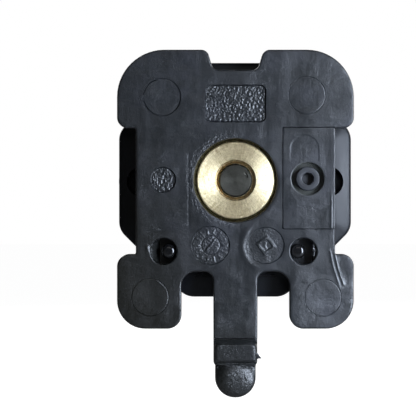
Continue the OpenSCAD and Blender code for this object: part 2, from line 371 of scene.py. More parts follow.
def bump(nt, bs, height, strength=0.2, distance=0.05, chain=None):
    b = nt.nodes.new("ShaderNodeBump")
    b.inputs["Strength"].default_value = strength
    b.inputs["Distance"].default_value = distance * MM
    nt.links.new(height, b.inputs["Height"])
    if chain is not None:
        nt.links.new(chain, b.inputs["Normal"])
    nt.links.new(b.outputs[0], bs.inputs["Normal"])
    return b.outputs[0]


def plastic(name, lo, hi, r_lo, r_hi, grain=2500, grain_bump=0.12, scratch=0.10, tint=None, spec=0.5, streak=(1.0, 1.0, 0.12)):
    """Moulded plastic: cloudy colour and gloss, fine grain, and a few long scuffs."""
    m, nt, bs, co = material(name)
    cloud = noise_tex(nt, co, 75, 5, 0.6)
    col = ramp(nt, cloud, [(0.30, lo), (0.72, hi)])
    nt.links.new(col, bs.inputs["Base Color"])
    fine = noise_tex(nt, scaled(nt, co, streak), 900, 4, 0.65)
    mixr = math_node(nt, "MULTIPLY_ADD", fine, 0.45, math_node(nt, "MULTIPLY", cloud, 0.6))
    nt.links.new(ramp(nt, mixr, [(0.30, r_lo), (0.75, r_hi)]), bs.inputs["Roughness"])
    g = noise_tex(nt, co, grain, 2, 0.5)
    n1 = bump(nt, bs, g, grain_bump, 0.03)
    wave = noise_tex(nt, scaled(nt, co, streak), 420, 6, 0.7, 0.6)
    line = ramp(nt, wave, [(0.485, 0.0), (0.5, 1.0), (0.515, 0.0)])
    mask = ramp(nt, noise_tex(nt, co, 130, 3, 0.6), [(0.5, 0.0), (0.66, 1.0)])
    n2 = bump(nt, bs, math_node(nt, "MULTIPLY", line, mask), scratch, 0.03, n1)
    swell = noise_tex(nt, co, 160, 2, 0.5)
    bump(nt, bs, swell, 0.35, 0.12, n2)
    bs.inputs["Specular IOR Level"].default_value = spec
    bs.inputs["IOR"].default_value = 1.5
    return m


def metal(name, lo, hi, r_lo, r_hi, aniso=0.0, lines=0.0, scale=(1, 1, 1), line_scale=1500):
    m, nt, bs, co = material(name)
    cloud = noise_tex(nt, co, 260, 4, 0.6)
    nt.links.new(ramp(nt, cloud, [(0.3, lo), (0.7, hi)]), bs.inputs["Base Color"])
    fine = noise_tex(nt, scaled(nt, co, scale), line_scale, 4, 0.7)
    nt.links.new(ramp(nt, fine, [(0.3, r_lo), (0.7, r_hi)]), bs.inputs["Roughness"])
    bump(nt, bs, noise_tex(nt, co, 700, 2, 0.5), 0.15 + lines, 0.006)
    bs.inputs["Metallic"].default_value = 1.0
    bs.inputs["Anisotropic"].default_value = aniso
    return m


def turned_metal(name, lo, hi, r_lo, r_hi, cx=0.0, cz=0.0, aniso=0.75, radial=0.25, bore=False, wear=0.0, glint=None):
    """Faced on a lathe: rings about the Y axis through (cx, cz), with the gloss drawn along them and light wear across."""
    m, nt, bs, co = material(name)
    sep = nt.nodes.new("ShaderNodeSeparateXYZ")
    nt.links.new(co, sep.inputs[0])
    x = math_node(nt, "SUBTRACT", sep.outputs[0], cx * MM)
    z = math_node(nt, "SUBTRACT", sep.outputs[2], cz * MM)
    rad = math_node(nt, "SQRT", math_node(nt, "ADD", math_node(nt, "MULTIPLY", x, x), math_node(nt, "MULTIPLY", z, z)))
    ang = math_node(nt, "ARCTAN2", z, x)
    comb = nt.nodes.new("ShaderNodeCombineXYZ")
    nt.links.new(math_node(nt, "MULTIPLY", rad, 1.0), comb.inputs[0])
    nt.links.new(math_node(nt, "MULTIPLY", ang, 0.0006), comb.inputs[1])
    nt.links.new(sep.outputs[1], comb.inputs[2])
    rings = noise_tex(nt, comb.outputs[0], 9000, 3, 0.6)
    comb2 = nt.nodes.new("ShaderNodeCombineXYZ")
    nt.links.new(math_node(nt, "MULTIPLY", rad, 0.10), comb2.inputs[0])
    nt.links.new(math_node(nt, "MULTIPLY", ang, 0.006), comb2.inputs[1])
    spokes = noise_tex(nt, comb2.outputs[0], 3600, 3, 0.65)
    cloud = noise_tex(nt, co, 1700 if wear else 420, 5, 0.65)
    mixc = math_node(nt, "MULTIPLY_ADD", spokes, radial, math_node(nt, "MULTIPLY_ADD", rings, 0.35, math_node(nt, "MULTIPLY", cloud, 0.65 - radial)))
    col = ramp(nt, mixc, [(0.36, lo), (0.62, hi)])
    if bore:
        # painted shade: a dark bronze on the bore's chamfer and groove, where the bush's inner edge lies in shade
        painted_bore_shade = nt.nodes.new("ShaderNodeMix")
        painted_bore_shade.data_type = "RGBA"
        nt.links.new(ramp(nt, math_node(nt, "MULTIPLY", rad, 100.0), [(0.366, (0.1, 0.1, 0.1)), (0.374, (1, 1, 1)), (0.398, (1, 1, 1)), (0.408, (0.55, 0.55, 0.55)), (0.418, (0.6, 0.6, 0.6)), (0.424, (1, 1, 1)), (0.430, (1, 1, 1)), (0.437, (0, 0, 0))]), painted_bore_shade.inputs[0])
        nt.links.new(col, painted_bore_shade.inputs[6])
        nt.links.new(ramp(nt, cloud, [(0.40, (0.22, 0.125, 0.035)), (0.60, (0.60, 0.42, 0.18))]), painted_bore_shade.inputs[7])
        # painted shade: dark brown on the bush's shoulder in the gap between the bush and the plate
        painted_gap_shade = nt.nodes.new("ShaderNodeMix")
        painted_gap_shade.data_type = "RGBA"
        nt.links.new(ramp(nt, math_node(nt, "MULTIPLY", rad, 100.0), [(0.818, (0, 0, 0)), (0.822, (1, 1, 1))]), painted_gap_shade.inputs[0])
        nt.links.new(painted_bore_shade.outputs[2], painted_gap_shade.inputs[6])
        nt.links.new(ramp(nt, cloud, [(0.40, (0.026, 0.022, 0.010)), (0.60, (0.085, 0.072, 0.036))]), painted_gap_shade.inputs[7])
        col = painted_gap_shade.outputs[2]
    nt.links.new(col, bs.inputs["Base Color"])
    nt.links.new(ramp(nt, math_node(nt, "MULTIPLY_ADD", rings, 0.5, math_node(nt, "MULTIPLY", cloud, 0.5)), [(0.35, r_lo), (0.65, r_hi)]), bs.inputs["Roughness"])
    n1 = bump(nt, bs, rings, 0.10, 0.02)
    n2 = bump(nt, bs, spokes, 0.10, 0.015, n1)
    if glint:
        gx = math_node(nt, "SUBTRACT", x, glint[0] * MM)
        gz = math_node(nt, "SUBTRACT", z, glint[1] * MM)
        ca, sa = math.cos(glint[2]), math.sin(glint[2])
        gu = math_node(nt, "MULTIPLY_ADD", gx, ca, math_node(nt, "MULTIPLY", gz, sa))
        gv = math_node(nt, "MULTIPLY_ADD", gx, -sa * 2.6, math_node(nt, "MULTIPLY", gz, ca * 2.6))
        gr_ = math_node(nt, "SQRT", math_node(nt, "ADD", math_node(nt, "MULTIPLY", gu, gu), math_node(nt, "MULTIPLY", gv, gv)))
        n2 = bump(nt, bs, ramp(nt, math_node(nt, "MULTIPLY", gr_, 1000.0), [(0.0, 1.0), (0.75, 0.0)]), 1.0, -0.25, n2)
        bump(nt, bs, noise_tex(nt, co, 1300, 3, 0.6), 0.5, 0.04, n2)
    if wear:
        bump(nt, bs, noise_tex(nt, co, 2000, 3, 0.7), wear, 0.085, n2)
    bs.inputs["Metallic"].default_value = 1.0
    bs.inputs["Anisotropic"].default_value = aniso
    bs.inputs["Anisotropic Rotation"].default_value = 0.25
    tan = nt.nodes.new("ShaderNodeTangent")
    tan.direction_type = "RADIAL"
    tan.axis = "Y"
    nt.links.new(tan.outputs[0], bs.inputs["Tangent"])
    return m


MAT = {}
MAT["plate_plastic"] = plastic("plate_plastic", (0.012, 0.0135, 0.0155), (0.024, 0.026, 0.031), 0.34, 0.56)
MAT["plunger_plastic"] = plastic("plunger_plastic", (0.008, 0.009, 0.011), (0.020, 0.0215, 0.026), 0.34, 0.50, grain_bump=0.35, scratch=0.25)
MAT["pin_plastic"] = plastic("pin_plastic", (0.004, 0.004, 0.004), (0.008, 0.008, 0.009), 0.1, 0.2, scratch=0.03)
MAT["drum_plastic"] = plastic("drum_plastic", (0.004, 0.0046, 0.005), (0.0075, 0.0084, 0.0108), 0.30, 0.46, spec=0.19)
MAT["cover_plastic"] = plastic("cover_plastic", (0.012, 0.012, 0.014), (0.02, 0.021, 0.024), 0.42, 0.6, grain=1800, grain_bump=0.5)
MAT["inner_plastic"] = plastic("inner_plastic", (0.62, 0.58, 0.48), (0.74, 0.71, 0.62), 0.4, 0.55)
MAT["bush_brass"] = turned_metal("bush_brass", (0.50, 0.38, 0.18), (0.97, 0.85, 0.57), 0.32, 0.50, aniso=0.74, radial=0.38, bore=True, wear=0.85)
MAT["spindle_steel"] = turned_metal("spindle_steel", (0.030, 0.029, 0.023), (0.066, 0.064, 0.055), 0.40, 0.60, aniso=0.3, glint=(2.35, 1.1, -1.0))
MAT["spring_steel"] = metal("spring_steel", (0.48, 0.49, 0.51), (0.62, 0.63, 0.65), 0.22, 0.34)
MAT["plated_steel"] = metal("plated_steel", (0.55, 0.56, 0.58), (0.70, 0.70, 0.71), 0.22, 0.38)
MAT["stud_brass"] = metal("stud_brass", (0.60, 0.47, 0.22), (0.70, 0.57, 0.31), 0.26, 0.36)
MAT["copper"] = metal("copper", (0.56, 0.28, 0.16), (0.75, 0.42, 0.28), 0.25, 0.42, scale=(0.1, 1, 1))
MAT["contact_silver"] = metal("contact_silver", (0.75, 0.75, 0.73), (0.88, 0.88, 0.87), 0.18, 0.3)
MAT["seal_rubber"] = plastic("seal_rubber", (0.008, 0.008, 0.008), (0.016, 0.016, 0.016), 0.6, 0.8)
MAT["knob_plastic"] = plastic("knob_plastic", (0.36, 0.012, 0.009), (0.50, 0.022, 0.016), 0.28, 0.42)


def mat_plate():
    """The plate's own plastic: as plate_plastic, with the rough patch beside the bush hole, painted light in the
    plunger moat's floor and painted brass bounce on the bush hole's wall.
    """
    m, nt, bs, co = material("plate_moulded")
    sep = nt.nodes.new("ShaderNodeSeparateXYZ")
    nt.links.new(co, sep.inputs[0])
    x, d, z = sep.outputs
    cloud = noise_tex(nt, co, 70, 6, 0.62)
    blot = noise_tex(nt, scaled(nt, co, (1, 1, 0.55)), 190, 4, 0.6, 0.4)
    tone = math_node(nt, "MULTIPLY_ADD", cloud, 0.6, math_node(nt, "MULTIPLY", blot, 0.4))
    col = ramp(nt, tone, [(0.33, (0.0060, 0.0068, 0.0072)), (0.50, (0.0095, 0.0108, 0.0125)), (0.68, (0.016, 0.0172, 0.0225))])
    # warmer towards the lower left, and painted bounce light from the brass, an olive brown, on the wall of the bush
    # hole
    warm = ramp(nt, math_node(nt, "MULTIPLY_ADD", x, -22.0, math_node(nt, "MULTIPLY", z, -14.0)), [(0.20, (1.0, 1.0, 1.0)), (0.80, (0.62, 0.54, 0.34))])
    tint = nt.nodes.new("ShaderNodeMix")
    tint.data_type = "RGBA"
    tint.blend_type = "MULTIPLY"
    tint.inputs[0].default_value = 1.0
    nt.links.new(col, tint.inputs[6])
    nt.links.new(warm, tint.inputs[7])
    rb = math_node(nt, "SQRT", math_node(nt, "ADD", math_node(nt, "MULTIPLY", x, x), math_node(nt, "MULTIPLY", z, z)))
    painted_brass_bounce = nt.nodes.new("ShaderNodeMix")
    painted_brass_bounce.data_type = "RGBA"
    nt.links.new(ramp(nt, math_node(nt, "MULTIPLY", rb, 100.0), [(0.886, (1, 1, 1)), (0.894, (0, 0, 0))]), painted_brass_bounce.inputs[0])
    nt.links.new(tint.outputs[2], painted_brass_bounce.inputs[6])
    painted_brass_bounce.inputs[7].default_value = (0.065, 0.052, 0.020, 1)
    streak = noise_tex(nt, scaled(nt, co, (1.0, 1.0, 0.08)), 1100, 5, 0.7)
    rr = math_node(nt, "MULTIPLY_ADD", streak, 0.40, math_node(nt, "MULTIPLY", blot, 0.6))
    rx = math_node(nt, "ADD", x, -15.4 * MM)
    rz = math_node(nt, "ADD", z, -0.35 * MM)
    moat = ramp(nt, math_node(nt, "MULTIPLY", math_node(nt, "SQRT", math_node(nt, "ADD", math_node(nt, "MULTIPLY", rx, rx), math_node(nt, "MULTIPLY", rz, rz))), 100.0), [(0.352, 1.0), (0.362, 0.0)])
    # painted light: a lighter base colour on the plunger moat's floor, standing in for light that the shaded moat does
    # not get
    painted_moat_light = nt.nodes.new("ShaderNodeMix")
    painted_moat_light.data_type = "RGBA"
    nt.links.new(moat, painted_moat_light.inputs[0])
    nt.links.new(painted_brass_bounce.outputs[2], painted_moat_light.inputs[6])
    painted_moat_light.inputs[7].default_value = (0.046, 0.048, 0.043, 1)
    nt.links.new(painted_moat_light.outputs[2], bs.inputs["Base Color"])
    ddx = math_node(nt, "ADD", x, 5.3 * MM)
    ddz = math_node(nt, "ADD", z, 13.85 * MM)
    dr = math_node(nt, "MULTIPLY", math_node(nt, "SQRT", math_node(nt, "ADD", math_node(nt, "MULTIPLY", ddx, ddx), math_node(nt, "MULTIPLY", ddz, ddz))), 100.0)
    saw = math_node(nt, "PINGPONG", math_node(nt, "MULTIPLY", math_node(nt, "ARCTAN2", ddz, ddx), 22 / (2 * math.pi)), 0.5)
    strokes = math_node(nt, "MULTIPLY", ramp(nt, saw, [(0.20, 1.0), (0.30, 0.0)]), ramp(nt, dr, [(0.225, 0.0), (0.24, 1.0), (0.34, 1.0), (0.355, 0.0)]))
    strokes = math_node(nt, "MULTIPLY", strokes, ramp(nt, noise_tex(nt, co, 1400, 2, 0.5), [(0.40, 0.0), (0.48, 1.0)]))
    moat = math_node(nt, "MAXIMUM", moat, math_node(nt, "MULTIPLY", strokes, 0.9))
    nt.links.new(math_node(nt, "MAXIMUM", math_node(nt, "MULTIPLY", moat, 0.95), ramp(nt, rr, [(0.34, 0.27), (0.52, 0.37), (0.70, 0.50)])), bs.inputs["Roughness"])
    # fine grain
    n0 = bump(nt, bs, noise_tex(nt, co, 2100, 4, 0.7), 0.85, 0.05)
    # vertical drag marks
    wave = noise_tex(nt, scaled(nt, co, (1.0, 1.0, 0.10)), 520, 6, 0.72, 0.5)
    line = ramp(nt, wave, [(0.480, 0.0), (0.5, 1.0), (0.520, 0.0)])
    mask = ramp(nt, noise_tex(nt, co, 120, 3, 0.6), [(0.46, 0.0), (0.62, 1.0)])
    n1 = bump(nt, bs, math_node(nt, "MULTIPLY", line, mask), 0.20, 0.03, n0)
    # short nicks all ways
    nick = noise_tex(nt, scaled(nt, co, (0.35, 1.0, 1.0)), 900, 5, 0.75, 1.2)
    nl = ramp(nt, nick, [(0.488, 0.0), (0.5, 1.0), (0.512, 0.0)])
    nm = ramp(nt, noise_tex(nt, scaled(nt, co, (1, 1, 1.3)), 210, 2, 0.5), [(0.58, 0.0), (0.68, 1.0)])
    n2 = bump(nt, bs, math_node(nt, "MULTIPLY", nl, nm), 0.20, 0.04, n1)
    # rough patch round the bush hole, most on its left
    r2 = math_node(nt, "SQRT", math_node(nt, "ADD", math_node(nt, "MULTIPLY", x, x), math_node(nt, "MULTIPLY", z, z)))
    ringm = ramp(nt, math_node(nt, "MULTIPLY", r2, 50.0), [(0.44, 0.0), (0.455, 1.0), (0.50, 0.7), (0.56, 0.0)])
    left = ramp(nt, math_node(nt, "MULTIPLY_ADD", x, -40.0, 0.5), [(0.35, 0.08), (0.75, 1.0)])
    spots = ramp(nt, noise_tex(nt, co, 1500, 3, 0.6), [(0.42, 0.0), (0.62, 1.0)])
    rough_h = math_node(nt, "MULTIPLY", spots, math_node(nt, "MULTIPLY", ringm, left))
    n3 = bump(nt, bs, rough_h, 0.6, 0.12, n2)
    padm = ramp(nt, math_node(nt, "MULTIPLY", z, -20.0), [(0.70, 0.25), (0.785, 1.0)])
    low = ramp(nt, math_node(nt, "MULTIPLY", z, -20.0), [(0.68, 0.0), (0.70, 1.0)])
    n3 = bump(nt, bs, math_node(nt, "MULTIPLY", noise_tex(nt, co, 1500, 3, 0.6), math_node(nt, "MULTIPLY", padm, low)), 0.9, 0.10, n3)
    # slow swell of a thick moulding
    swell = noise_tex(nt, scaled(nt, co, (0.85, 1.0, 1.3)), 160, 3, 0.42, 0.1)
    bump(nt, bs, swell, 1.0, 0.40, n3)
    bs.inputs["Specular IOR Level"].default_value = 0.5
    bs.inputs["IOR"].default_value = 1.5
    return m


MAT["plate_moulded"] = mat_plate()

# ----------------------------------------------------- latch plate and tongue
EAR_X, EAR_TOP, EAR_BOT, WAIST = 25.2, 27.8, -31.6, 21.2
HALF = [(4.34, -46.3, 4.3), (4.34, -39.35, 0.5), (4.70, -38.75, 0.7), (4.70, -19.4, 2.0), (11.5, -19.4, 3.1), (11.5, -31.6, 3.0),
        (25.2, -31.6, 6.0), (25.2, -15.7, 2.6), (21.2, -15.7, 0.45), (21.2, 11.1, 0.45), (25.2, 11.1, 2.3), (25.2, 27.8, 10.0),
        (6.0, 27.8, 1.75), (4.72, 23.5, 1.5)]
CORNERS = HALF + [(-x, y, r) for x, y, r in reversed(HALF)]
STEPS = [-33.55, -33.66, -33.74, -33.84, -34.46, -34.58, -34.68, -34.85, -35.2, -37.9, -38.25, -38.4, -38.52, -38.7, -39.2, -39.38, -39.5, -39.7]
MARKS = [(-15.6, 17.7, 0.042, -0.010), (15.2, 18.1, -0.012, 0.006), (18.6, -25.0, -0.012, -0.004), (-18.2, -24.9, 0.004, 0.006)]
RECT = (-6.4, 6.5, 12.4, 20.3, 1.2)
DOT = (-15.4, 0.1, 2.74)
DATE = (-5.3, -13.85, 4.1)
CAV = (6.5, -13.85, 3.9)
PINS = [(-15.3, -15.1), (14.5, -15.1)]
PEGS = (-14.2, 13.4)
RIDGES = [[(20.15, -15.1), (20.35, -16.2), (20.65, -17.7), (21.0, -19.0), (21.4, -20.2), (22.1, -22.3), (22.3, -23.0)],
          [(21.0, -15.0), (21.25, -16.2), (21.75, -18.4), (22.4, -20.5), (23.1, -22.3)],
          [(-16.9, -21.2), (-16.2, -21.8), (-15.1, -22.9)]]


def sd_rrect(x, y, x0, x1, y0, y1, r):
    cx, cy = (x0 + x1) / 2, (y0 + y1) / 2
    qx = np.abs(x - cx) - (x1 - x0) / 2 + r
    qy = np.abs(y - cy) - (y1 - y0) / 2 + r
    return np.hypot(np.maximum(qx, 0), np.maximum(qy, 0)) + np.minimum(np.maximum(qx, qy), 0) - r


def sstep(a, b, x):
    t = np.clip((x - a) / (b - a), 0, 1)
    return t * t * (3 - 2 * t)


def grit(x, y, s, seed):
    return np.array([noise.noise(Vector((a * s, b * s, seed))) for a, b in zip(x, y)])


def seg_dist(x, y, path):
    best = np.full(len(x), 1e9)
    for (ax, ay), (bx, by) in zip(path, path[1:]):
        vx, vy = bx - ax, by - ay
        t = np.clip(((x - ax) * vx + (y - ay) * vy) / (vx * vx + vy * vy), 0, 1)
        best = np.minimum(best, np.hypot(x - ax - t * vx, y - ay - t * vy))
    return best


def back_height(x, y):
    """Depth of the back face below the back plane, in mm."""
    x, y = np.asarray(x, float), np.asarray(y, float)
    h = np.zeros(len(x))
    for cx, cy, sx, sy in MARKS:
        r = np.hypot(x - cx, y - cy)
        h += sstep(4.06, 3.96, r) * 0.13 - sstep(3.93, 3.80, r) * (0.06 + 0.0) + ((x - cx) * sx + (y - cy) * sy) * sstep(3.96, 3.80, r)
    s = sd_rrect(x, y, *RECT)
    inside = s < 0.1
    h += sstep(0.06, -0.16, s) * 0.55
    k = inside & (s < -0.2)
    if k.any():
        h[k] += 0.15 * grit(x[k], y[k], 2.6, 3.1) + 0.10 * grit(x[k], y[k], 5.0, 9.2)
    r = np.hypot(x - DOT[0], y - DOT[1])
    h += sstep(DOT[2] + 0.06, DOT[2] - 0.16, r) * 0.5
    k = r < DOT[2] - 0.2
    if k.any():
        h[k] += 0.15 * grit(x[k], y[k], 2.7, 5.7) + 0.10 * grit(x[k], y[k], 5.0, 1.2)
    # dial insert: a floor with ticks round a plain pointer bar
    dx, dy = x - DATE[0], y - DATE[1]
    r, a = np.hypot(dx, dy), np.arctan2(dy, dx)
    h += sstep(DATE[2] + 0.03, DATE[2] - 0.12, r) * 0.26
    tick = np.abs((a * 14 / (2 * math.pi) + 0.5) % 1 - 0.5) * 2 * math.pi / 14 * r
    h -= sstep(0.26, 0.10, tick) * sstep(2.35, 2.5, r) * sstep(3.62, 3.47, r) * 0.07
    h += (sstep(2.12, 2.02, r) - sstep(1.94, 1.84, r)) * 0.10
    u, v = dx * math.cos(0.9) + dy * math.sin(0.9), -dx * math.sin(0.9) + dy * math.cos(0.9)
    h -= sstep(0.26, 0.12, np.abs(v)) * sstep(1.55, 1.4, np.abs(u)) * 0.14
    k = r < DATE[2] - 0.15
    if k.any():
        h[k] += 0.07 * grit(x[k], y[k], 4.2, 4.4)
    # plain insert: a floor with a small raised square
    dx, dy = x - CAV[0], y - CAV[1]
    r = np.hypot(dx, dy)
    h += sstep(CAV[2] + 0.03, CAV[2] - 0.14, r) * 0.24
    ring_lip = (sstep(6.1, 5.0, r) - sstep(4.95, 4.08, r)) * sstep(0.15, 0.85, -dx / np.maximum(r, 0.1) * 0.95 - dy / np.maximum(r, 0.1) * 0.1)
    h -= ring_lip * 0.13
    h += sstep(5.0, 3.95, r) * 0.075 * sstep(-0.1, 0.6, dx / np.maximum(r, 0.1))
    sq = np.maximum(np.abs(dx * 0.8 + dy * 0.6), np.abs(-dx * 0.6 + dy * 0.8))
    h -= (sstep(1.62, 1.48, sq) - sstep(1.02, 0.88, sq)) * 0.14
    k = r < CAV[2] - 0.15
    if k.any():
        h[k] += 0.05 * grit(x[k], y[k], 4.2, 8.8)
    # rims of the bush hole and the pin holes
    r = np.hypot(x, y)
    h += sstep(9.12, 8.80, r) ** 2 * 0.30
    h += sstep(9.85, 8.8, r) ** 2 * 0.14 * sstep(0.1, 0.9, (x - y) / np.maximum(r, 1.0) / 1.414)
    for cx, cy in PINS:
        r = np.hypot(x - cx, y - cy)
        h += sstep(3.08, 2.74, r) ** 2 * 0.26
    # raised flow lines at the lower right
    for path, amp in zip(RIDGES, (0.075, 0.075, 0.055)):
        s = seg_dist(x, y, path)
        h -= sstep(0.24, 0.02, s) * amp * sstep(-23.8, -22.0, y)
    r = np.hypot(x + 18.75, (y + 14.4) * 0.55)
    h -= sstep(0.62, 0.0, r) * 0.17
    h += 0.050 * np.clip(x - 13.0, 0, 20) * sstep(-14.8, -22.5, y) + 0.012 * np.clip(-x - 13.0, 0, 20) * sstep(-17.5, -21.0, y)
    # faint step down the left
    h += (sstep(-10.35, -9.95, x) - sstep(-9.95, -9.4, x)) * 0.06 * sstep(-19.0, -16.0, y) * sstep(9.5, 6.0, y)
    h += 0.022 * x * sstep(-19.5, -24.0, y) * (np.abs(x) < 4.95) * sstep(-38.5, -37.9, y)
    # tongue: catch groove, block, second groove and domed thumb pad
    t = y < -33.0
    ax = np.abs(x)
    g1 = sstep(-33.62 - 0.0, -33.76, y) * sstep(-34.72, -34.56, y)
    g1 *= 1.0
    block = sstep(-34.5, -34.7, y) * sstep(-38.62, -38.38, y)
    over = np.clip(ax - 3.7, 0, 0.98)
    crown = 0.14 + (1.0 - np.sqrt(np.maximum(1.0 - over ** 2, 0.0))) * 0.85 + 0.16 * np.clip((-35.1 - y) / 3.2, 0, 1) ** 3
    cx_ = np.clip(ax - 3.1, 0, 1.6) / 1.6
    crown += 0.55 * np.clip((y + 35.25 + 0.75 * cx_ ** 2) / 0.75, 0, 1) ** 2
    g2 = sstep(-38.3, -38.62, y) * sstep(-39.75, -39.35, y)
    py = (y + 42.35) / 3.1
    pad = sstep(-39.3, -39.7, y)
    q_ = np.clip(np.hypot(ax / 4.35, np.abs(y + 42.6) / 3.9), 0, 1.08)
    dome = 0.17 + 0.95 * q_ ** 3.8 + 0.085 * x * (1 - q_ ** 2)
    if t.any():
        k = t & (y < -39.3)
        dome[k] += 0.05 * grit(x[k], y[k], 2.6, 2.2) + 0.045 * grit(x[k], y[k], 4.6, 7.7)
        k = t & (y > -38.4) & (y < -34.7)
        crown[k] += 0.025 * grit(x[k], y[k], 3.4, 6.1)
    fall = np.clip((-33.70 - y) / 1.0, 0, 1)
    v2 = np.clip(1 - np.abs(y + 39.0) / 0.75, 0, 1) ** 0.8
    h = np.where(t, g1 * (1.0 - 0.62 * fall ** 1.3) + block * crown * (1 - g1) + np.maximum(g2, 0) * 0.9 * v2 * (1 - pad * 0.8) + pad * dome, h)
    return h


def thickness(x, y):
    """Depth of the front face."""
    x, y = np.asarray(x, float), np.asarray(y, float)
    inner = (np.abs(x) < 4.9) & (y < -19.5)
    t = np.where(inner, 3.0 - 0.8 * sstep(-20.2, -22.2, y), 3.0)
    rib = sstep(3.3, 2.9, np.abs(x)) * sstep(-31.2, -31.8, y) * sstep(-36.8, -36.2, y)
    return t + np.where(inner, rib * 0.55, 0)


def must_y(s, e):
    if abs(s[0] - e[0]) < 1e-6 and abs(abs(s[0]) - 4.7) < 0.01:
        return STEPS + [-22.2, -23.5, -25, -27, -29, -31]
    if abs(s[0] - e[0]) < 0.5 and 4.2 < abs(s[0]) < 4.8:
        return STEPS
    return []


def inside_poly(pts, poly):
    x, y = pts[:, 0], pts[:, 1]
    ins = np.zeros(len(pts), bool)
    px, py = poly[:, 0], poly[:, 1]
    qx, qy = np.roll(px, -1), np.roll(py, -1)
    for ax, ay, bx, by in zip(px, py, qx, qy):
        c = (ay > y) != (by > y)
        if not c.any():
            continue
        xi = (bx - ax) * (y - ay) / (by - ay + 1e-30) + ax
        ins ^= c & (x < xi)
    return ins


def poly_dist(pts, poly):
    best = np.full(len(pts), 1e9)
    q = np.roll(poly, -1, 0)
    for a, b in zip(poly, q):
        v = b - a
        t = np.clip(((pts - a) @ v) / (v @ v), 0, 1)
        best = np.minimum(best, np.linalg.norm(pts - a - t[:, None] * v, axis=1))
    return best


def grid(x0, x1, y0, y1, s, jitter=0.0):
    nx, ny = int((x1 - x0) / s) + 1, int((y1 - y0) / s) + 1
    gx, gy = np.meshgrid(np.linspace(x0, x1, nx), np.linspace(y0, y1, ny))
    p = np.c_[gx.ravel(), gy.ravel()]
    p[:, 0] += np.where((np.arange(len(p)) // nx) % 2 == 1, s * 0.5, 0)
    return p + (rng.random(p.shape) - 0.5) * s * jitter


def face_points(boundary):
    """Loops that the back face's mesh keeps, and the loose points between them."""
    loops, loose, keepout = [], [], []

    def rings(cx, cy, rs, n):
        for r in rs:
            loops.append(circle(r, cx, cy, n))

    for cx, cy, _, _ in MARKS:
        rings(cx, cy, (4.10, 4.06, 4.01, 3.96, 3.93, 3.865, 3.80, 3.7), 72)
        keepout.append((cx, cy, 4.2))
    x0, x1, y0, y1, r = RECT
    for off in (0.14, 0.06, -0.03, -0.10, -0.16, -0.24):
        loops.append(rounded([(x1 + off, y0 - off, r + off), (x1 + off, y1 + off, r + off), (x0 - off, y1 + off, r + off), (x0 - off, y0 - off, r + off)], 9, 0.45))
    p = grid(x0, x1, y0, y1, 0.17, 0.5)
    loose.append(p[sd_rrect(p[:, 0], p[:, 1], *RECT) < -0.32])
    for cx, cy, r, s in ((*DOT, 0.15), (*DATE, 0.125), (*CAV, 0.125)):
        rings(cx, cy, (r + 0.12, r + 0.05, r - 0.04, r - 0.12, r - 0.2), 84)
        p = grid(cx - r, cx + r, cy - r, cy + r, s, 0.35)
        loose.append(p[np.hypot(p[:, 0] - cx, p[:, 1] - cy) < r - 0.28])
    t = np.radians(np.arange(112, 262, 4.0))
    for rr_ in np.arange(4.3, 6.5, 0.26):
        loose.append(np.c_[CAV[0] + rr_ * np.cos(t), CAV[1] + rr_ * np.sin(t)])
    rings(0, 0, (9.9, 9.7, 9.5, 9.3, 9.12, 9.04, 8.96, 8.88, 8.80, 8.6), 150)
    for cx, cy in PINS:
        rings(cx, cy, (3.2, 3.08, 2.98, 2.88, 2.80, 2.74, 2.6), 60)
    lines = []
    for path in RIDGES:
        a = np.array(path, float)
        # resample the path as a smooth curve
        t = np.r_[0, np.cumsum(np.linalg.norm(np.diff(a, axis=0), axis=1))]
        q = np.arange(0, t[-1], 0.35)
        c = np.c_[np.interp(q, t, a[:, 0]), np.interp(q, t, a[:, 1])]
        d = np.gradient(c, axis=0)
        d /= np.linalg.norm(d, axis=1)[:, None]
        nn = np.c_[-d[:, 1], d[:, 0]]
        for off in (-0.26, -0.13, 0.0, 0.13, 0.26):
            lines.append(c + nn * off)
    loose.append(np.array([(-18.75 + a_ * math.cos(t_), -14.4 + a_ * 1.8 * math.sin(t_)) for a_ in (0.02, 0.16, 0.32, 0.48, 0.64) for t_ in np.arange(0, 6.2, 0.6)]))
    for x in (-10.4, -10.15, -9.95, -9.7, -9.4):
        lines.append(np.c_[np.full(26, x), np.linspace(-9.4, 5.5, 26)])
    for y in STEPS:
        hw = 4.7 if y > -38.6 else 4.3
        lines.append(np.c_[np.linspace(-hw + 0.42, hw - 0.42, 36), np.full(36, y)])
    p = grid(-4.6, 4.6, -46.2, -33.2, 0.26, 0.15)
    loose.append(p)
    p = grid(-26, 26, -33.2, 28.5, 0.95, 0.25)
    loose.append(p)
    return loops, lines, np.vstack(loose)


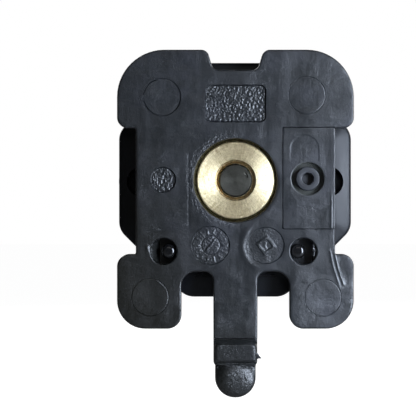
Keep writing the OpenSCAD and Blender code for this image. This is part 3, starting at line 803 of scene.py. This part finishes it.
def cdt_face(boundary, heights, loops=(), lines=(), loose=None):
    """Triangles over the region inside boundary. Returns points and faces; the first len(boundary) points are the boundary's own."""
    pts = [tuple(p) for p in boundary]
    nb = len(pts)
    edges = [(i, (i + 1) % nb) for i in range(nb)]
    bp = np.array(boundary)
    for lp in loops:
        ok = inside_poly(lp, bp) & (poly_dist(lp, bp) > 0.05)
        if not ok.all():
            continue
        i0 = len(pts)
        pts += [tuple(p) for p in lp]
        n = len(lp)
        edges += [(i0 + i, i0 + (i + 1) % n) for i in range(n)]
    for ln in lines:
        ok = inside_poly(ln, bp) & (poly_dist(ln, bp) > 0.03)
        idx = []
        for p, good in zip(ln, ok):
            if good:
                idx.append(len(pts))
                pts.append(tuple(p))
            else:
                idx.append(None)
        edges += [(a, c) for a, c in zip(idx, idx[1:]) if a is not None and c is not None]
    if loose is not None and len(loose):
        ok = inside_poly(loose, bp)
        loose = loose[ok]
        loose = loose[poly_dist(loose, bp) > 0.12]
        # keep loose points off the loops and lines
        fixed = np.array(pts)
        cell = {}
        for x, y in fixed:
            cell.setdefault((int(x // 0.3), int(y // 0.3)), []).append((x, y))
        keep = []
        for x, y in loose:
            cx, cy = int(x // 0.3), int(y // 0.3)
            near = False
            for i in (-1, 0, 1):
                for j in (-1, 0, 1):
                    for fx, fy in cell.get((cx + i, cy + j), ()):
                        if (fx - x) ** 2 + (fy - y) ** 2 < 0.0036:
                            near = True
                            break
            if not near:
                keep.append((x, y))
        pts += keep
    vs, es, fs, ov, oe, of = delaunay_2d_cdt([Vector(p) for p in pts], edges, [], 1, 1e-6, True)
    # put the boundary's own points first
    order, where = [], {}
    for new, olds in enumerate(ov):
        for o in olds:
            where[o] = new
    for i in range(nb):
        order.append(where[i])
    seen = set(order)
    rest = [i for i in range(len(vs)) if i not in seen]
    order += rest
    back = {old: new for new, old in enumerate(order)}
    P2 = np.array([vs[i] for i in order])
    F = np.array([[back[i] for i in f] for f in fs])
    mid = P2[F].mean(1)
    a, c, d = P2[F[:, 0]], P2[F[:, 1]], P2[F[:, 2]]
    turn = (c[:, 0] - a[:, 0]) * (d[:, 1] - a[:, 1]) - (c[:, 1] - a[:, 1]) * (d[:, 0] - a[:, 0])
    F = F[inside_poly(mid, bp) & (np.abs(turn) > 1e-9)]
    return P2, [tuple(int(i) for i in f) for f in F], heights(P2[:, 0], P2[:, 1])


def moulded(name, pts, back, front, RB, RF, marks=((), (), None), front_marks=((), (), None), ring_loops=None):
    """A slab whose back face is a height field with the given kept lines, and whose edges are rounded."""
    b = Build()
    rings = []
    for ins, hh in edge_profile(RB, 5):
        q = inset(pts, ins) if ins else pts
        rings.append((b.ring(q, back(q[:, 0], q[:, 1]) + hh), q))
    for (a, _), (c, _) in zip(rings, rings[1:]):
        b.strip(a, c)
    edge_idx, edge_pts = rings[-1]
    P2, F, H = cdt_face(edge_pts, back, *marks)
    nb = len(edge_pts)
    base = len(b.v)
    b.v += [(px, py, h) for (px, py), h in zip(P2[nb:], H[nb:])]
    for f in F:
        b.f.append(tuple((edge_idx[i] if i < nb else base + i - nb) for i in f))
    fr = []
    for ins, hh in edge_profile(RF, 4):
        q = inset(pts, ins) if ins else pts
        fr.append((b.ring(q, front(q[:, 0], q[:, 1]) - hh), q))
    b.strip(fr[0][0], rings[0][0])
    for (a, _), (c, _) in zip(fr, fr[1:]):
        b.strip(c, a)
    fi, fp = fr[-1]
    P3, F3, H3 = cdt_face(fp, front, *front_marks)
    nb = len(fp)
    base2 = len(b.v)
    b.v += [(px, py, h) for (px, py), h in zip(P3[nb:], H3[nb:])]
    for f in F3:
        b.f.append(tuple((fi[i] if i < nb else base2 + i - nb) for i in reversed(f)))
    me = b.mesh(name)
    outward(me)
    return new_object(name, me)


def make_plate():
    pts = rounded(CORNERS, 6.5, 1.3, must_y)
    edge = inset(pts, 0.36)
    p = np.vstack([grid(-26, 26, -33, 28.5, 2.4, 0.2), grid(-4.4, 4.4, -46, -20, 0.7, 0.1)])
    ribl = [np.array([(-3.3, -36.8), (3.3, -36.8), (3.3, -31.2), (-3.3, -31.2)]), np.array([(-2.9, -36.2), (2.9, -36.2), (2.9, -31.8), (-2.9, -31.8)])]
    return moulded("latch_plate_moulding", pts, back_height, thickness, 0.36, 0.30, face_points(edge), (ribl, [], p))


plate = make_plate()

# neck: a wall under the waist with tubes for the bush, pins and plunger
NECK = [(21.16, -18.6, 1.0), (21.16, 22.5, 1.0), (-21.16, 22.5, 1.0), (-21.16, -18.6, 1.0)]


def neck(b):
    prism(b, rounded(NECK, 10, 50), 2.4, 6.5, 0, 0.12)


def neck_hollow(b):
    prism(b, rounded([(19.4, -16.8, 0.8), (19.4, 20.7, 0.8), (-19.4, 20.7, 0.8), (-19.4, -16.8, 0.8)], 10, 50), 3.0, 7.5, 0, 0)


neck_o = solid("neck", neck)
boolean(neck_o, solid("nh", neck_hollow))
for nm, r, cx, cy in (("t1", 10.6, 0, 0), ("t2", 4.9, 15.4, 0.35), ("t3", 3.8, 14.5, -15.1), ("t4", 3.8, -15.3, -15.1)):
    boolean(neck_o, solid(nm, lambda b, r=r, cx=cx, cy=cy: lathe(b, [(0, 2.5), (r, 2.5), (r, 6.45), (0, 6.45)], cx, cy, 64)), "UNION")
boolean(plate, neck_o, "UNION")


def cut(b):
    lathe(b, [(0, -1), (8.85, -1), (8.85, 8), (0, 8)], 0, 0, 150)


boolean(plate, solid("c1", cut))
POCKET = [(10.0, -10.45), (23.0, -10.45), (23.0, 10.9), (21.25, 10.9), (21.25, 11.35), (10.0, 11.35)]
boolean(plate, solid("c2", lambda b: prism(b, np.array(POCKET), -1, 2.0, 0, 0)))
boolean(plate, solid("c3", lambda b: lathe(b, [(0, 1.5), (3.7, 1.5), (3.7, 8), (0, 8)], 15.4, 0.35, 64)))
for (hx, hy), px in zip(PINS, PEGS):
    boolean(plate, solid("c4", lambda b: lathe(b, [(0, -1), (2.8, -1), (2.8, 4.4), (0, 4.4)], hx, hy, 60)))
    boolean(plate, solid("c5", lambda b: lathe(b, [(0, 4), (1.52, 4), (1.52, 8), (0, 8)], px, hy, 40)))


def wedge(b, prof, y0, y1, n=26):
    """A bar along y whose section is drawn across x and depth, with a slightly torn surface."""
    rings = []
    for i in range(n + 1):
        y = y0 + (y1 - y0) * i / n
        i0 = len(b.v)
        for k, (x, d) in enumerate(prof):
            w = 0.30 if k in (0, 1, 2) else 0.0
            b.v.append((x, y, d + w * noise.noise(Vector((x * 1.3, y * 2.6, 4.0 + k * 0.7)))))
        rings.append(list(range(i0, len(b.v))))
    b.ngon(rings[0])
    for a_, c_ in zip(rings, rings[1:]):
        b.strip(c_, a_)
    b.ngon(rings[-1], flip=True)


# torn ramps of plastic that stand in each pin hole
for prof, y0, y1, hx in ((((-18.4, 0.55), (-17.55, 1.15), (-16.75, 2.5), (-16.1, 4.5), (-18.4, 4.5)), -18.2, -12.2, -15.3),
                         (((16.55, 0.75), (16.8, 0.65), (17.5, 0.9), (17.5, 4.5), (16.5, 4.5)), -17.0, -12.9, 14.5)):
    w_ = solid("wedge", lambda b: wedge(b, prof, y0, y1))
    boolean(w_, solid("trim", lambda b: lathe(b, [(0, 0.1), (2.86, 0.1), (2.86, 4.42), (0, 4.42)], hx, -15.1, 60)), "INTERSECT")
    boolean(plate, w_, "UNION")
# flash left at the side of the tongue
boolean(plate, solid("flash", lambda b: prism(b, np.array([(4.4, -38.2), (4.95, -37.95), (5.62, -37.95), (5.1, -37.35), (4.85, -36.9), (4.4, -36.5)]), 0.55, 1.0, 0.06, 0.06, 2)), "UNION")
me = plate.data
bm = bmesh.new()
bm.from_mesh(me)
bmesh.ops.remove_doubles(bm, verts=bm.verts, dist=2e-7)
bmesh.ops.dissolve_degenerate(bm, dist=1e-7, edges=bm.edges)
bm.to_mesh(me)
bm.free()
plate.name = "latch_plate_moulding"
for p in me.polygons:
    p.use_smooth = True
me.set_sharp_from_angle(angle=math.radians(50))
plate.data.materials.clear()
plate.data.materials.append(MAT["plate_moulded"])
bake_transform(plate)
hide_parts("latch_plate", "latch_tongue")

# ------------------------------------------------------------ plunger cover
def cover_back(x, y):
    x, y = np.asarray(x, float), np.asarray(y, float)
    h = np.full(len(x), 0.0)
    r = np.hypot(x - 15.4, y - 0.35)
    h += sstep(3.72, 3.5, r) ** 2 * 0.05
    # faint pill-shaped sink round the plunger
    pill = np.hypot(x - 14.7, y - np.clip(y, 0.1, 6.6))
    h += sstep(3.25, 2.85, pill) * 0.045 * sstep(3.0, 4.6, y) 
    # edge towards the drum: a thin lip with a groove beside it
    h -= (sstep(20.15, 20.42, x) - sstep(20.42, 20.75, x)) * 0.055 * sstep(-1.5, -5.0, y)
    h += sstep(20.95, 21.2, x) ** 1.5 * 0.06
    return h


CP = rounded([(21.2, -10.34, 0.4), (21.2, 11.25, 0.4), (10.09, 11.25, 0.4), (10.09, -10.34, 0.4)], 20, 0.8)
cl = [circle(r, 15.4, 0.35, 72) for r in (3.9, 3.74, 3.66, 3.58, 3.5, 3.2)]
pl = []
for off in (3.6, 3.42, 3.3, 3.2, 3.08, 2.97, 2.86, 2.7, 2.5, 2.1, 1.5, 0.8):
    t = np.linspace(0, math.pi, 30)
    y_ = 4.35 if off > 2.6 else 5.0
    pl.append(np.vstack([[(14.7 + off, y_)], np.c_[14.7 + off * np.cos(t), 6.6 + off * np.sin(t)], [(14.7 - off, y_)]]))
ln = [np.c_[np.full(24, x), np.linspace(-10.1, 10.9, 24)] for x in (20.15, 20.25, 20.34, 20.42, 20.5, 20.6, 20.75, 20.85, 20.93, 21.0)]
cover = moulded("plunger_cover_moulding", CP, cover_back, lambda x, y: np.full(len(x), 2.0), 0.13, 0.1, (cl + pl, ln, grid(10.3, 20.0, -10.2, 11.2, 0.9, 0.3)), ((), (), grid(10.3, 21, -10.2, 11.2, 2.2)))
boolean(cover, solid("k1", lambda b: lathe(b, [(0, -1), (3.55, -1), (3.5, 1.85), (2.62, 1.85), (2.62, 3), (0, 3)], 15.4, 0.35, 72)))
for yy in (-8, 9):
    boolean(cover, solid("k2", lambda b: lathe(b, [(0, 1.9), (0.92, 1.9), (0.92, 2.9), (0, 2.95)], 12, yy, 24)), "UNION")
smooth(cover, 45)
finish_piece(cover, "housing", MAT["plate_moulded"], ("plunger_cover",))

# --------------------------------------------------------------- seat plunger
pl_o = solid("seat_plunger_turned", lambda b: lathe(b, [(0, 2.4), (1.26, 2.4), (1.26, 0.24)] + arc(1.40, 0.22, 0.14, 180, 270, 4) + arc(2.36, 0.23, 0.15, 270, 360, 4) + [(2.51, 2.06), (3.32, 2.06), (3.4, 2.14), (3.4, 3.0), (3.3, 3.1), (1.5, 3.1), (1.5, 4.3), (1.4, 4.4), (0, 4.4)], 15.4, 0.35, 72))
smooth(pl_o, 40)
finish_piece(pl_o, "plunger", MAT["plunger_plastic"], ("seat_plunger",))

# ----------------------------------------------------------------- plate pins
pb = Build()
for px in PEGS:
    lathe(pb, [(0, 0.36)] + arc(0.60, 1.36, 1.0, 270, 350, 8) + [(1.6, 1.8), (1.6, 4.3), (1.55, 4.38), (1.48, 4.38), (1.48, 10.0), (1.3, 10.2), (0, 10.2)], px, -15.1, 48)
pin_me = pb.mesh("plate_pins_turned")
outward(pin_me)
pins = new_object("plate_pins_turned", pin_me)
smooth(pins, 40)
finish_piece(pins, "housing", MAT["pin_plastic"], ("plate_pins",))

# --------------------------------------------------------------- bearing bush
bush = solid("bearing_bush_turned", lambda b: lathe(b, [(3.55, 1.80), (3.58, 1.62), (3.66, 1.55), (3.74, 1.62), (3.80, 1.95), (3.90, 1.95), (3.98, 1.30), (4.10, 1.16), (4.24, 1.08), (4.30, 0.95), (4.36, 0.66)] + arc(4.44, 0.60, 0.08, 200, 270, 4) + [(5.2, 0.5), (6.0, 0.5), (6.8, 0.5), (7.5, 0.5)] + arc(7.97, 0.62, 0.12, 270, 315, 3) + [(8.13, 0.68)] + arc(8.05, 0.80, 0.15, 315, 360, 3) + [(8.2, 1.02), (8.27, 1.12), (8.5, 1.16), (8.8, 1.17), (8.8, 1.7), (8.2, 1.8), (8.2, 9.3), (8.1, 9.4), (5.5, 9.4), (5.5, 11.9), (5.4, 12), (3.65, 12), (3.55, 11.9)], 0, 0, 192))
smooth(bush, 28)
finish_piece(bush, "housing", MAT["bush_brass"], ("bearing_bush",))

# -------------------------------------------------------------- drum and cover
OCT = [(25.05, 0), (25.2, 45), (25.45, 90), (25.2, 135), (25.05, 180), (25.2, 225), (25.05, 270), (25.2, 315)]


def octagon(k=0.0, r=4.2, line=2.5, seg=6.0):
    """The drum's outline moved inward by k, with rounded corners."""
    pts = []
    for i in range(8):
        (h0, a0), (h1, a1) = OCT[i - 1], OCT[i]
        a0, a1, h0, h1 = math.radians(a0), math.radians(a1), h0 - k, h1 - k
        det = math.cos(a0) * math.sin(a1) - math.cos(a1) * math.sin(a0)
        pts.append(((h0 * math.sin(a1) - h1 * math.sin(a0)) / det, (math.cos(a0) * h1 - math.cos(a1) * h0) / det, r))
    return rounded(pts, seg, line)


def drum_body(b):
    O = octagon()
    rr = np.hypot(O[:, 0], O[:, 1])
    back = []
    # back edge: a long slope that rolls into the side
    for k, d in ((4.6, 6.5), (4.35, 6.51), (4.1, 6.54), (3.0, 6.75), (1.9, 6.98), (1.0, 7.19), (0.5, 7.33), (0.24, 7.45), (0.10, 7.62), (0.02, 7.9), (0.0, 8.2)):
        back.append(b.ring(inset(O, k) if k else O, d))
    for ins, h in edge_profile(0.25, 3):
        back.append(b.ring(inset(O, ins) if ins else O, 30 - h))
    b.ngon(back[0])
    for a, c in zip(back, back[1:]):
        b.strip(c, a)
    b.ngon(back[-1], flip=True)


def box(b, x0, x1, y0, y1, d0, d1, r=0.0):
    prism(b, rounded([(x1, y0, r), (x1, y1, r), (x0, y1, r), (x0, y0, r)], 15, 60), d0, d1, 0, 0)


def cyl(b, r, d0, d1, x=0.0, y=0.0, n=64):
    lathe(b, [(0, d0), (r, d0), (r, d1), (0, d1)], x, y, n)


SCREWS = [(15.2, 15.2), (-15.2, 15.2), (15.2, -15.2), (-15.2, -15.2)]
drum = solid("drum_moulding", drum_body)


def cut_drum(fn, op="DIFFERENCE"):
    boolean(drum, solid("cut", fn), op)


for sx in (-1, 1):
    cut_drum(lambda b: box(b, min(sx * 14, sx * 40), max(sx * 14, sx * 40), -7.8, 7.8, 18.7, 32, 0.5))
cut_drum(lambda b: cyl(b, 12.4, 16.2, 32, n=96))
cut_drum(lambda b: box(b, -10.2, 10.2, -15.7, 15.7, 16.2, 32, 0.6))
cut_drum(lambda b: box(b, -15, 15, -4.45, 4.45, 18.7, 20.75))
cut_drum(lambda b: lathe(b, [(0, 5), (8.22, 5), (8.22, 9.42), (5.52, 9.42), (5.52, 12.2), (10.4, 12.2), (10.4, 17), (0, 17)], 0, 0, 96))
cut_drum(lambda b: box(b, -9.5, 9.5, -15, 15, 12, 17))
for sx in (-1, 1):
    # core mark with a scooped rim, then the stud's own seat
    cut_drum(lambda b: lathe(b, [(0, 5), (3.12, 5), (3.12, 6.75), (3.0, 6.95), (2.84, 7.3), (2.76, 7.8), (2.7, 9.3), (2.3, 9.55), (0, 9.6)], sx * 20.4, -0.2, 56))
    cut_drum(lambda b: lathe(b, [(0, 9.88), (2.7, 9.88), (2.7, 11.98), (4.02, 11.98), (4.02, 14.52), (2.7, 14.52), (2.7, 19.7), (0, 19.7)], sx * 20.4, 0, 48))
    cut_drum(lambda b: cyl(b, 1.5, 5, 10.3, PEGS[(sx + 1) // 2], -15.1, 32))


def pocket(b, sx, sy):
    pts = octagon(2.0, 3.0, 60, 10)
    prism(b, pts, 10.5, 33, 0, 0)


pk = solid("pocket", lambda b: pocket(b, 1, 1))
boolean(pk, solid("p1", lambda b: cyl(b, 14.4, 9, 34, n=96)))
boolean(pk, solid("p2", lambda b: box(b, -30, 30, -9.7, 9.7, 9, 34)))
boolean(pk, solid("p3", lambda b: box(b, -11.5, 11.5, -17, 17, 9, 34)))
for q in SCREWS:
    boolean(pk, solid("p4", lambda b: cyl(b, 3.4, 9, 34, q[0], q[1], 40)))
boolean(drum, pk)
for q in SCREWS:
    cut_drum(lambda b: cyl(b, 1.42, 19, 33, q[0], q[1], 24))
bevel(drum, 0.14, 2, 50)
smooth(drum, 38)
finish_piece(drum, "housing", MAT["drum_plastic"], ("drum_housing",))


def cover_body(b):
    O = octagon()
    rings = []
    for ins, h in reversed(edge_profile(0.15, 2)):
        rings.append(b.ring(inset(O, ins) if ins else O, 30.8 + h))
    for ins, h in edge_profile(0.7, 6):
        rings.append(b.ring(inset(O, ins) if ins else O, 33.3 - h))
    b.ngon(rings[0])
    for a, c in zip(rings, rings[1:]):
        b.strip(c, a)
    b.ngon(rings[-1], flip=True)


fc = solid("front_cover_moulding", cover_body)
for sx in (-1, 1):
    boolean(fc, solid("w", lambda b: box(b, min(sx * 14, sx * 40), max(sx * 14, sx * 40), -7.8, 7.8, 29, 36, 0.5)))
boolean(fc, solid("sp", lambda b: lathe(b, [(0, 30), (8, 30), (8, 32), (0, 32)], 0, 0, 96)), "UNION")
boolean(fc, solid("co", lambda b: lathe(b, [(0, 32), (9.9, 32), (9.9, 33.35), (9.6, 33.5), (9.5, 33.8), (9.5, 36.6), (9.35, 36.9), (9.1, 37), (0, 37)], 0, 0, 96)), "UNION")
boolean(fc, solid("bo", lambda b: cyl(b, 4.1, 29, 38, n=64)))
for q in SCREWS:
    boolean(fc, solid("sc", lambda b: lathe(b, [(0, 29), (1.7, 29), (1.7, 33.05), (3.1, 33.05), (3.1, 35), (0, 35)], q[0], q[1], 48)))
boolean(fc, solid("m1", lambda b: lathe(b, [(1.25, 32.9), (1.9, 32.9), (1.9, 34), (1.25, 34)], 0, 19.6, 48)))
for sx in (-1, 1):
    boolean(fc, solid("m2", lambda b: box(b, sx * 18.6 - 2, sx * 18.6 + 2, 9.9, 10.6, 32.9, 34, 0.2)))
# shallow border groove round the cover's face
gr = solid("g", lambda b: prism(b, octagon(2.2, 3.2, 60, 6), 33.12, 34, 0, 0))
boolean(gr, solid("g2", lambda b: prism(b, octagon(2.6, 3.0, 60, 6), 33, 35, 0, 0)))
for sx in (-1, 1):
    boolean(gr, solid("g3", lambda b: box(b, sx * 20 - 7.6, sx * 20 + 7.6, -9.2, 9.2, 33, 35)))
boolean(fc, gr)
bevel(fc, 0.12, 2, 45)
smooth(fc, 38)
finish_piece(fc, "housing", MAT["cover_plastic"], ("front_cover",))


# ------------------------------------------------------------- studs and nuts
def thread(b, x, d0, d1, rM=2.98, rm=2.44, pitch=1.0, n=40, per=6):
    rows = int((d1 - d0) / pitch * per)
    rings = []
    for j in range(rows + 1):
        d = d0 + (d1 - d0) * j / rows
        lead = min(1.0, max(0.0, (d - d0) / 0.6), max(0.0, (d1 - d) / 0.7))
        pts, dd = [], []
        for i in range(n):
            a = 2 * math.pi * i / n
            ph = ((d - d0) / pitch - i / n) % 1.0
            tri = max(0.0, min(1.0, (0.5 - abs(ph - 0.5)) * 2.6 - 0.25))
            r = rm + (rM - rm) * tri * lead
            pts.append((x + r * math.cos(a), r * math.sin(a)))
        rings.append(b.ring(np.array(pts), d))
    return rings


for side, sx in (("left", -1), ("right", 1)):
    def stud(b, sx=sx):
        x = sx * 20.4
        low = [b.ring(circle(r, x, 0, 40), d) for r, d in ((2.5, 9.9), (2.68, 10.1), (2.68, 12.0), (4, 12.0), (4, 14.5), (2.68, 14.5), (2.68, 18.2))]
        tr = thread(b, x, 18.4, 36.35)
        tip = [b.ring(circle(r, x, 0, 40), d) for r, d in ((2.40, 36.7), (2.2, 36.95), (2.0, 37.0))]
        al = low + tr + tip
        b.ngon(al[0])
        for a, c in zip(al, al[1:]):
            b.strip(c, a)
        b.ngon(al[-1], flip=True)
    o = solid("terminal_stud_%s_threaded" % side, stud)
    smooth(o, 30)
    finish_piece(o, "housing", MAT["stud_brass"], ("terminal_stud_%s" % side,))


def hexnut(name, node, d0, d1):
    parts = []
    for sx in (-1, 1):
        x = sx * 20.4
        hx = solid("hx", lambda b: prism(b, circle(5.77, x, 0, 6, math.pi / 2), d0, d1, 0, 0))
        cone = solid("cn", lambda b: lathe(b, [(0, d0 - 0.01), (5.05, d0 - 0.01), (5.85, d0 + 0.45), (5.85, d1 - 0.45), (5.05, d1 + 0.01), (0, d1 + 0.01)], x, 0, 72))
        boolean(hx, cone, "INTERSECT")
        boolean(hx, solid("br", lambda b: lathe(b, [(0, d0 - 1), (3.15, d0 - 1), (3.15, d0), (2.62, d0 + 0.5), (2.62, d1 - 0.5), (3.15, d1), (3.15, d1 + 1), (0, d1 + 1)], x, 0, 48)))
        parts.append(hx)
    bm = bmesh.new()
    for p_ in parts:
        bm.from_mesh(p_.data)
    me = bpy.data.meshes.new(name)
    bm.to_mesh(me)
    bm.free()
    for p_ in parts:
        bpy.data.objects.remove(p_)
    o = new_object(name, me)
    bevel(o, 0.10, 2, 25)
    smooth(o, 40)
    finish_piece(o, "housing", MAT["stud_brass"], (node,))


hexnut("jam_nuts_turned", "jam_nuts", 20.7, 23.9)
hexnut("terminal_nuts_turned", "terminal_nuts", 26.7, 31.7)


def two(name, node, slot, fn, ang=35, n=72):
    b = Build()
    for sx in (-1, 1):
        fn(b, sx * 20.4)
    me = b.mesh(name)
    outward(me)
    o = new_object(name, me)
    smooth(o, ang)
    finish_piece(o, "housing", MAT[slot], (node,))
    return o


two("flat_washers_turned", "flat_washers", "plated_steel", lambda b, x: lathe(b, [(3.2, 23.98), (3.28, 23.9), (5.2, 23.9), (5.28, 23.96), (5.3, 24.05), (5.3, 24.95), (5.22, 25.06), (5.1, 25.1), (3.28, 25.1), (3.2, 25.02)], x, 0, 72))


def split_ring(b, x):
    n = 60
    prof = [(3.18, 25.18), (3.26, 25.12), (4.92, 25.12), (5.0, 25.2), (5.0, 26.58), (4.92, 26.66), (3.26, 26.66), (3.18, 26.58)]
    m = len(prof)
    rows = []
    for i in range(n + 1):
        t = i / n
        a = math.radians(98) + math.radians(344) * t
        lift = 0.0
        i0 = len(b.v)
        for r, d in prof:
            b.v.append((x + r * math.cos(a), r * math.sin(a), d + lift))
        rows.append([i0 + k for k in range(m)])
    for a, c in zip(rows, rows[1:]):
        b.strip(c, a)
    b.ngon(rows[0])
    b.ngon(rows[-1], flip=True)


two("spring_washers_formed", "spring_washers", "spring_steel", split_ring)


def screws(name="cover_screws_formed"):
    parts = []
    for qx, qy in SCREWS:
        h = solid("scr", lambda b: lathe(b, [(0, 20.0), (0.9, 20.3), (1.4, 21.2), (1.4, 33.06), (2.72, 33.06), (2.8, 33.16), (2.8, 33.9)] + arc(1.9, 33.9, 0.9, 12, 62, 5) + [(1.6, 34.92), (0.8, 35.06), (0, 35.1)], qx, qy, 56))
        ang = 0.5 + qx * 0.13 + qy * 0.07
        for k in (0, 1):
            a = ang + k * math.pi / 2
            c, s_ = math.cos(a), math.sin(a)
            rect = np.array([(u * c - v * s_ + qx, u * s_ + v * c + qy) for u, v in ((-1.55, -0.3), (1.55, -0.3), (1.55, 0.3), (-1.55, 0.3))])
            boolean(h, solid("x", lambda b: prism(b, rect, 34.0, 36, 0, 0)))
        parts.append(h)
    bm = bmesh.new()
    for p_ in parts:
        bm.from_mesh(p_.data)
    me = bpy.data.meshes.new(name)
    bm.to_mesh(me)
    bm.free()
    for p_ in parts:
        bpy.data.objects.remove(p_)
    o = new_object(name, me)
    smooth(o, 35)
    finish_piece(o, "housing", MAT["plated_steel"], ("cover_screws",))


screws()

# ------------------------------------------------------------- other CAD nodes
WIDTH = {"spindle": 0.12, "detent_wheel": 0.12, "contact_base": 0.15, "fixed_contact_left": 0.12, "fixed_contact_right": 0.12, "contact_bridge": 0.15,
         "thrust_washer": 0.08, "cover_gasket": 0.08, "knob": 0.7, "knob_cap": 0.3, "knob_screw": 0.1, "fixed_contact_tips": 0.08, "bridge_tips": 0.08}
for row in frame["record"]["subparts"]:
    o = frame["nodes"][row["node"]]
    if o.hide_render or not o.data.polygons or not o.visible_get():
        continue
    o.data.materials.clear()
    o.data.materials.append(MAT[row["material_slot"]])
    if row["node"] in WIDTH:
        w = o.modifiers.new("weld", "WELD")
        w.merge_threshold = 1e-6
        d = o.modifiers.new("planar", "DECIMATE")
        d.decimate_type = "DISSOLVE"
        d.angle_limit = math.radians(1.0)
        bevel(o, WIDTH[row["node"]], 3 if WIDTH[row["node"]] > 0.2 else 2, 38)
        wn_ = o.modifiers.new("normals", "WEIGHTED_NORMAL")
        wn_.keep_sharp = False
        wn_.weight = 80
        for p_ in o.data.polygons:
            p_.use_smooth = True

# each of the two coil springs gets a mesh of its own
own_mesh(bpy.data.objects["plunger_spring"])
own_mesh(bpy.data.objects["contact_spring"])

# ------------------------------------------------------------------- staging
def area(name, loc, size, power, color=(1, 1, 1), target=(0, 0.01, -0.004), size_y=None):
    l = bpy.data.lights.new(name, "AREA")
    l.energy = power
    l.color = color
    l.shape = "RECTANGLE"
    l.size, l.size_y = size, size_y or size
    o = bpy.data.objects.new(name, l)
    bpy.context.scene.collection.objects.link(o)
    o.location = loc
    o.rotation_euler = (Vector(target) - Vector(loc)).to_track_quat("-Z", "Y").to_euler()
    return o


area("key_right", (0.120, -0.150, 0.004), 0.06, 0.83, (0.74, 0.835, 1.0), size_y=0.12)
area("wide_right", (0.62, -0.55, 0.20), 0.42, 0.5, (0.76, 0.88, 1.0), size_y=0.5)
area("soft_top", (0.02, -0.92, 0.40), 0.45, 0.55, (1.0, 0.99, 0.97), size_y=0.35)
area("soft_left", (-0.42, -0.80, -0.06), 0.35, 0.07, (1.0, 0.97, 0.88), size_y=0.35)
area("front_soft", (-0.35, 0.75, 0.45), 0.5, 6.0)
area("front_side", (0.6, 0.55, 0.25), 0.4, 3.5)

world = bpy.data.worlds.new("world")
bpy.context.scene.world = world
world.use_nodes = True
wn = world.node_tree
wn.nodes.clear()
wo = wn.nodes.new("ShaderNodeOutputWorld")
b1 = wn.nodes.new("ShaderNodeBackground")
b2 = wn.nodes.new("ShaderNodeBackground")
mix = wn.nodes.new("ShaderNodeMixShader")
lp = wn.nodes.new("ShaderNodeLightPath")
tc = wn.nodes.new("ShaderNodeTexCoord")
ws = wn.nodes.new("ShaderNodeSeparateXYZ")
wn.links.new(tc.outputs["Generated"], ws.inputs[0])
# soft room light: brightest behind the camera and a little to the right, dark to the left
side = math_node(wn, "MULTIPLY_ADD", ws.outputs[0], 0.35, math_node(wn, "MULTIPLY", ws.outputs[1], -0.62))
wn.links.new(ramp(wn, math_node(wn, "MULTIPLY_ADD", side, 0.5, 0.5), [(0.10, (0.20, 0.20, 0.21)), (0.50, (0.012, 0.013, 0.014)), (0.68, (0.014, 0.015, 0.017)), (0.84, (0.04, 0.042, 0.048)), (1.0, (0.06, 0.064, 0.072))]), b1.inputs[0])
b1.inputs[1].default_value = 1.0
b2.inputs[0].default_value = (1, 1, 1, 1)
b2.inputs[1].default_value = 1.0
wn.links.new(lp.outputs["Is Camera Ray"], mix.inputs[0])
wn.links.new(b1.outputs[0], mix.inputs[1])
wn.links.new(b2.outputs[0], mix.inputs[2])
wn.links.new(mix.outputs[0], wo.inputs[0])

fb = Build()
fb.v = [(-4000, -75, -4000), (4000, -75, -4000), (4000, -75, 4000), (-4000, -75, 4000)]
fb.f = [(0, 1, 2, 3)]
floor = new_object("floor", fb.mesh("floor"))
fm = bpy.data.materials.new("floor")
fm.use_nodes = True
fn = fm.node_tree
fn.nodes.clear()
fo = fn.nodes.new("ShaderNodeOutputMaterial")
fd = fn.nodes.new("ShaderNodeBsdfDiffuse")
fe = fn.nodes.new("ShaderNodeEmission")
fa = fn.nodes.new("ShaderNodeAddShader")
fl = fn.nodes.new("ShaderNodeLightPath")
fd.inputs[0].default_value = (0.30, 0.30, 0.30, 1)
fe.inputs[0].default_value = (1, 1, 1, 1)
fn.links.new(math_node(fn, "MULTIPLY", fl.outputs["Is Camera Ray"], 0.97), fe.inputs[1])
fn.links.new(fd.outputs[0], fa.inputs[0])
fn.links.new(fe.outputs[0], fa.inputs[1])
fn.links.new(fa.outputs[0], fo.inputs[0])
floor.data.materials.append(fm)

cam = bpy.data.cameras.new("camera")
cam.sensor_width = 36
cam.lens = 36 * 500 / (416 * 0.2127)
cam.clip_start, cam.clip_end = 0.02, 20
co = bpy.data.objects.new("camera", cam)
bpy.context.scene.collection.objects.link(co)
co.location = (-0.00584, -0.5, -0.00589)
co.rotation_euler = (math.pi / 2, 0, 0)
bpy.context.scene.camera = co
bpy.context.scene.view_settings.view_transform = "Standard"
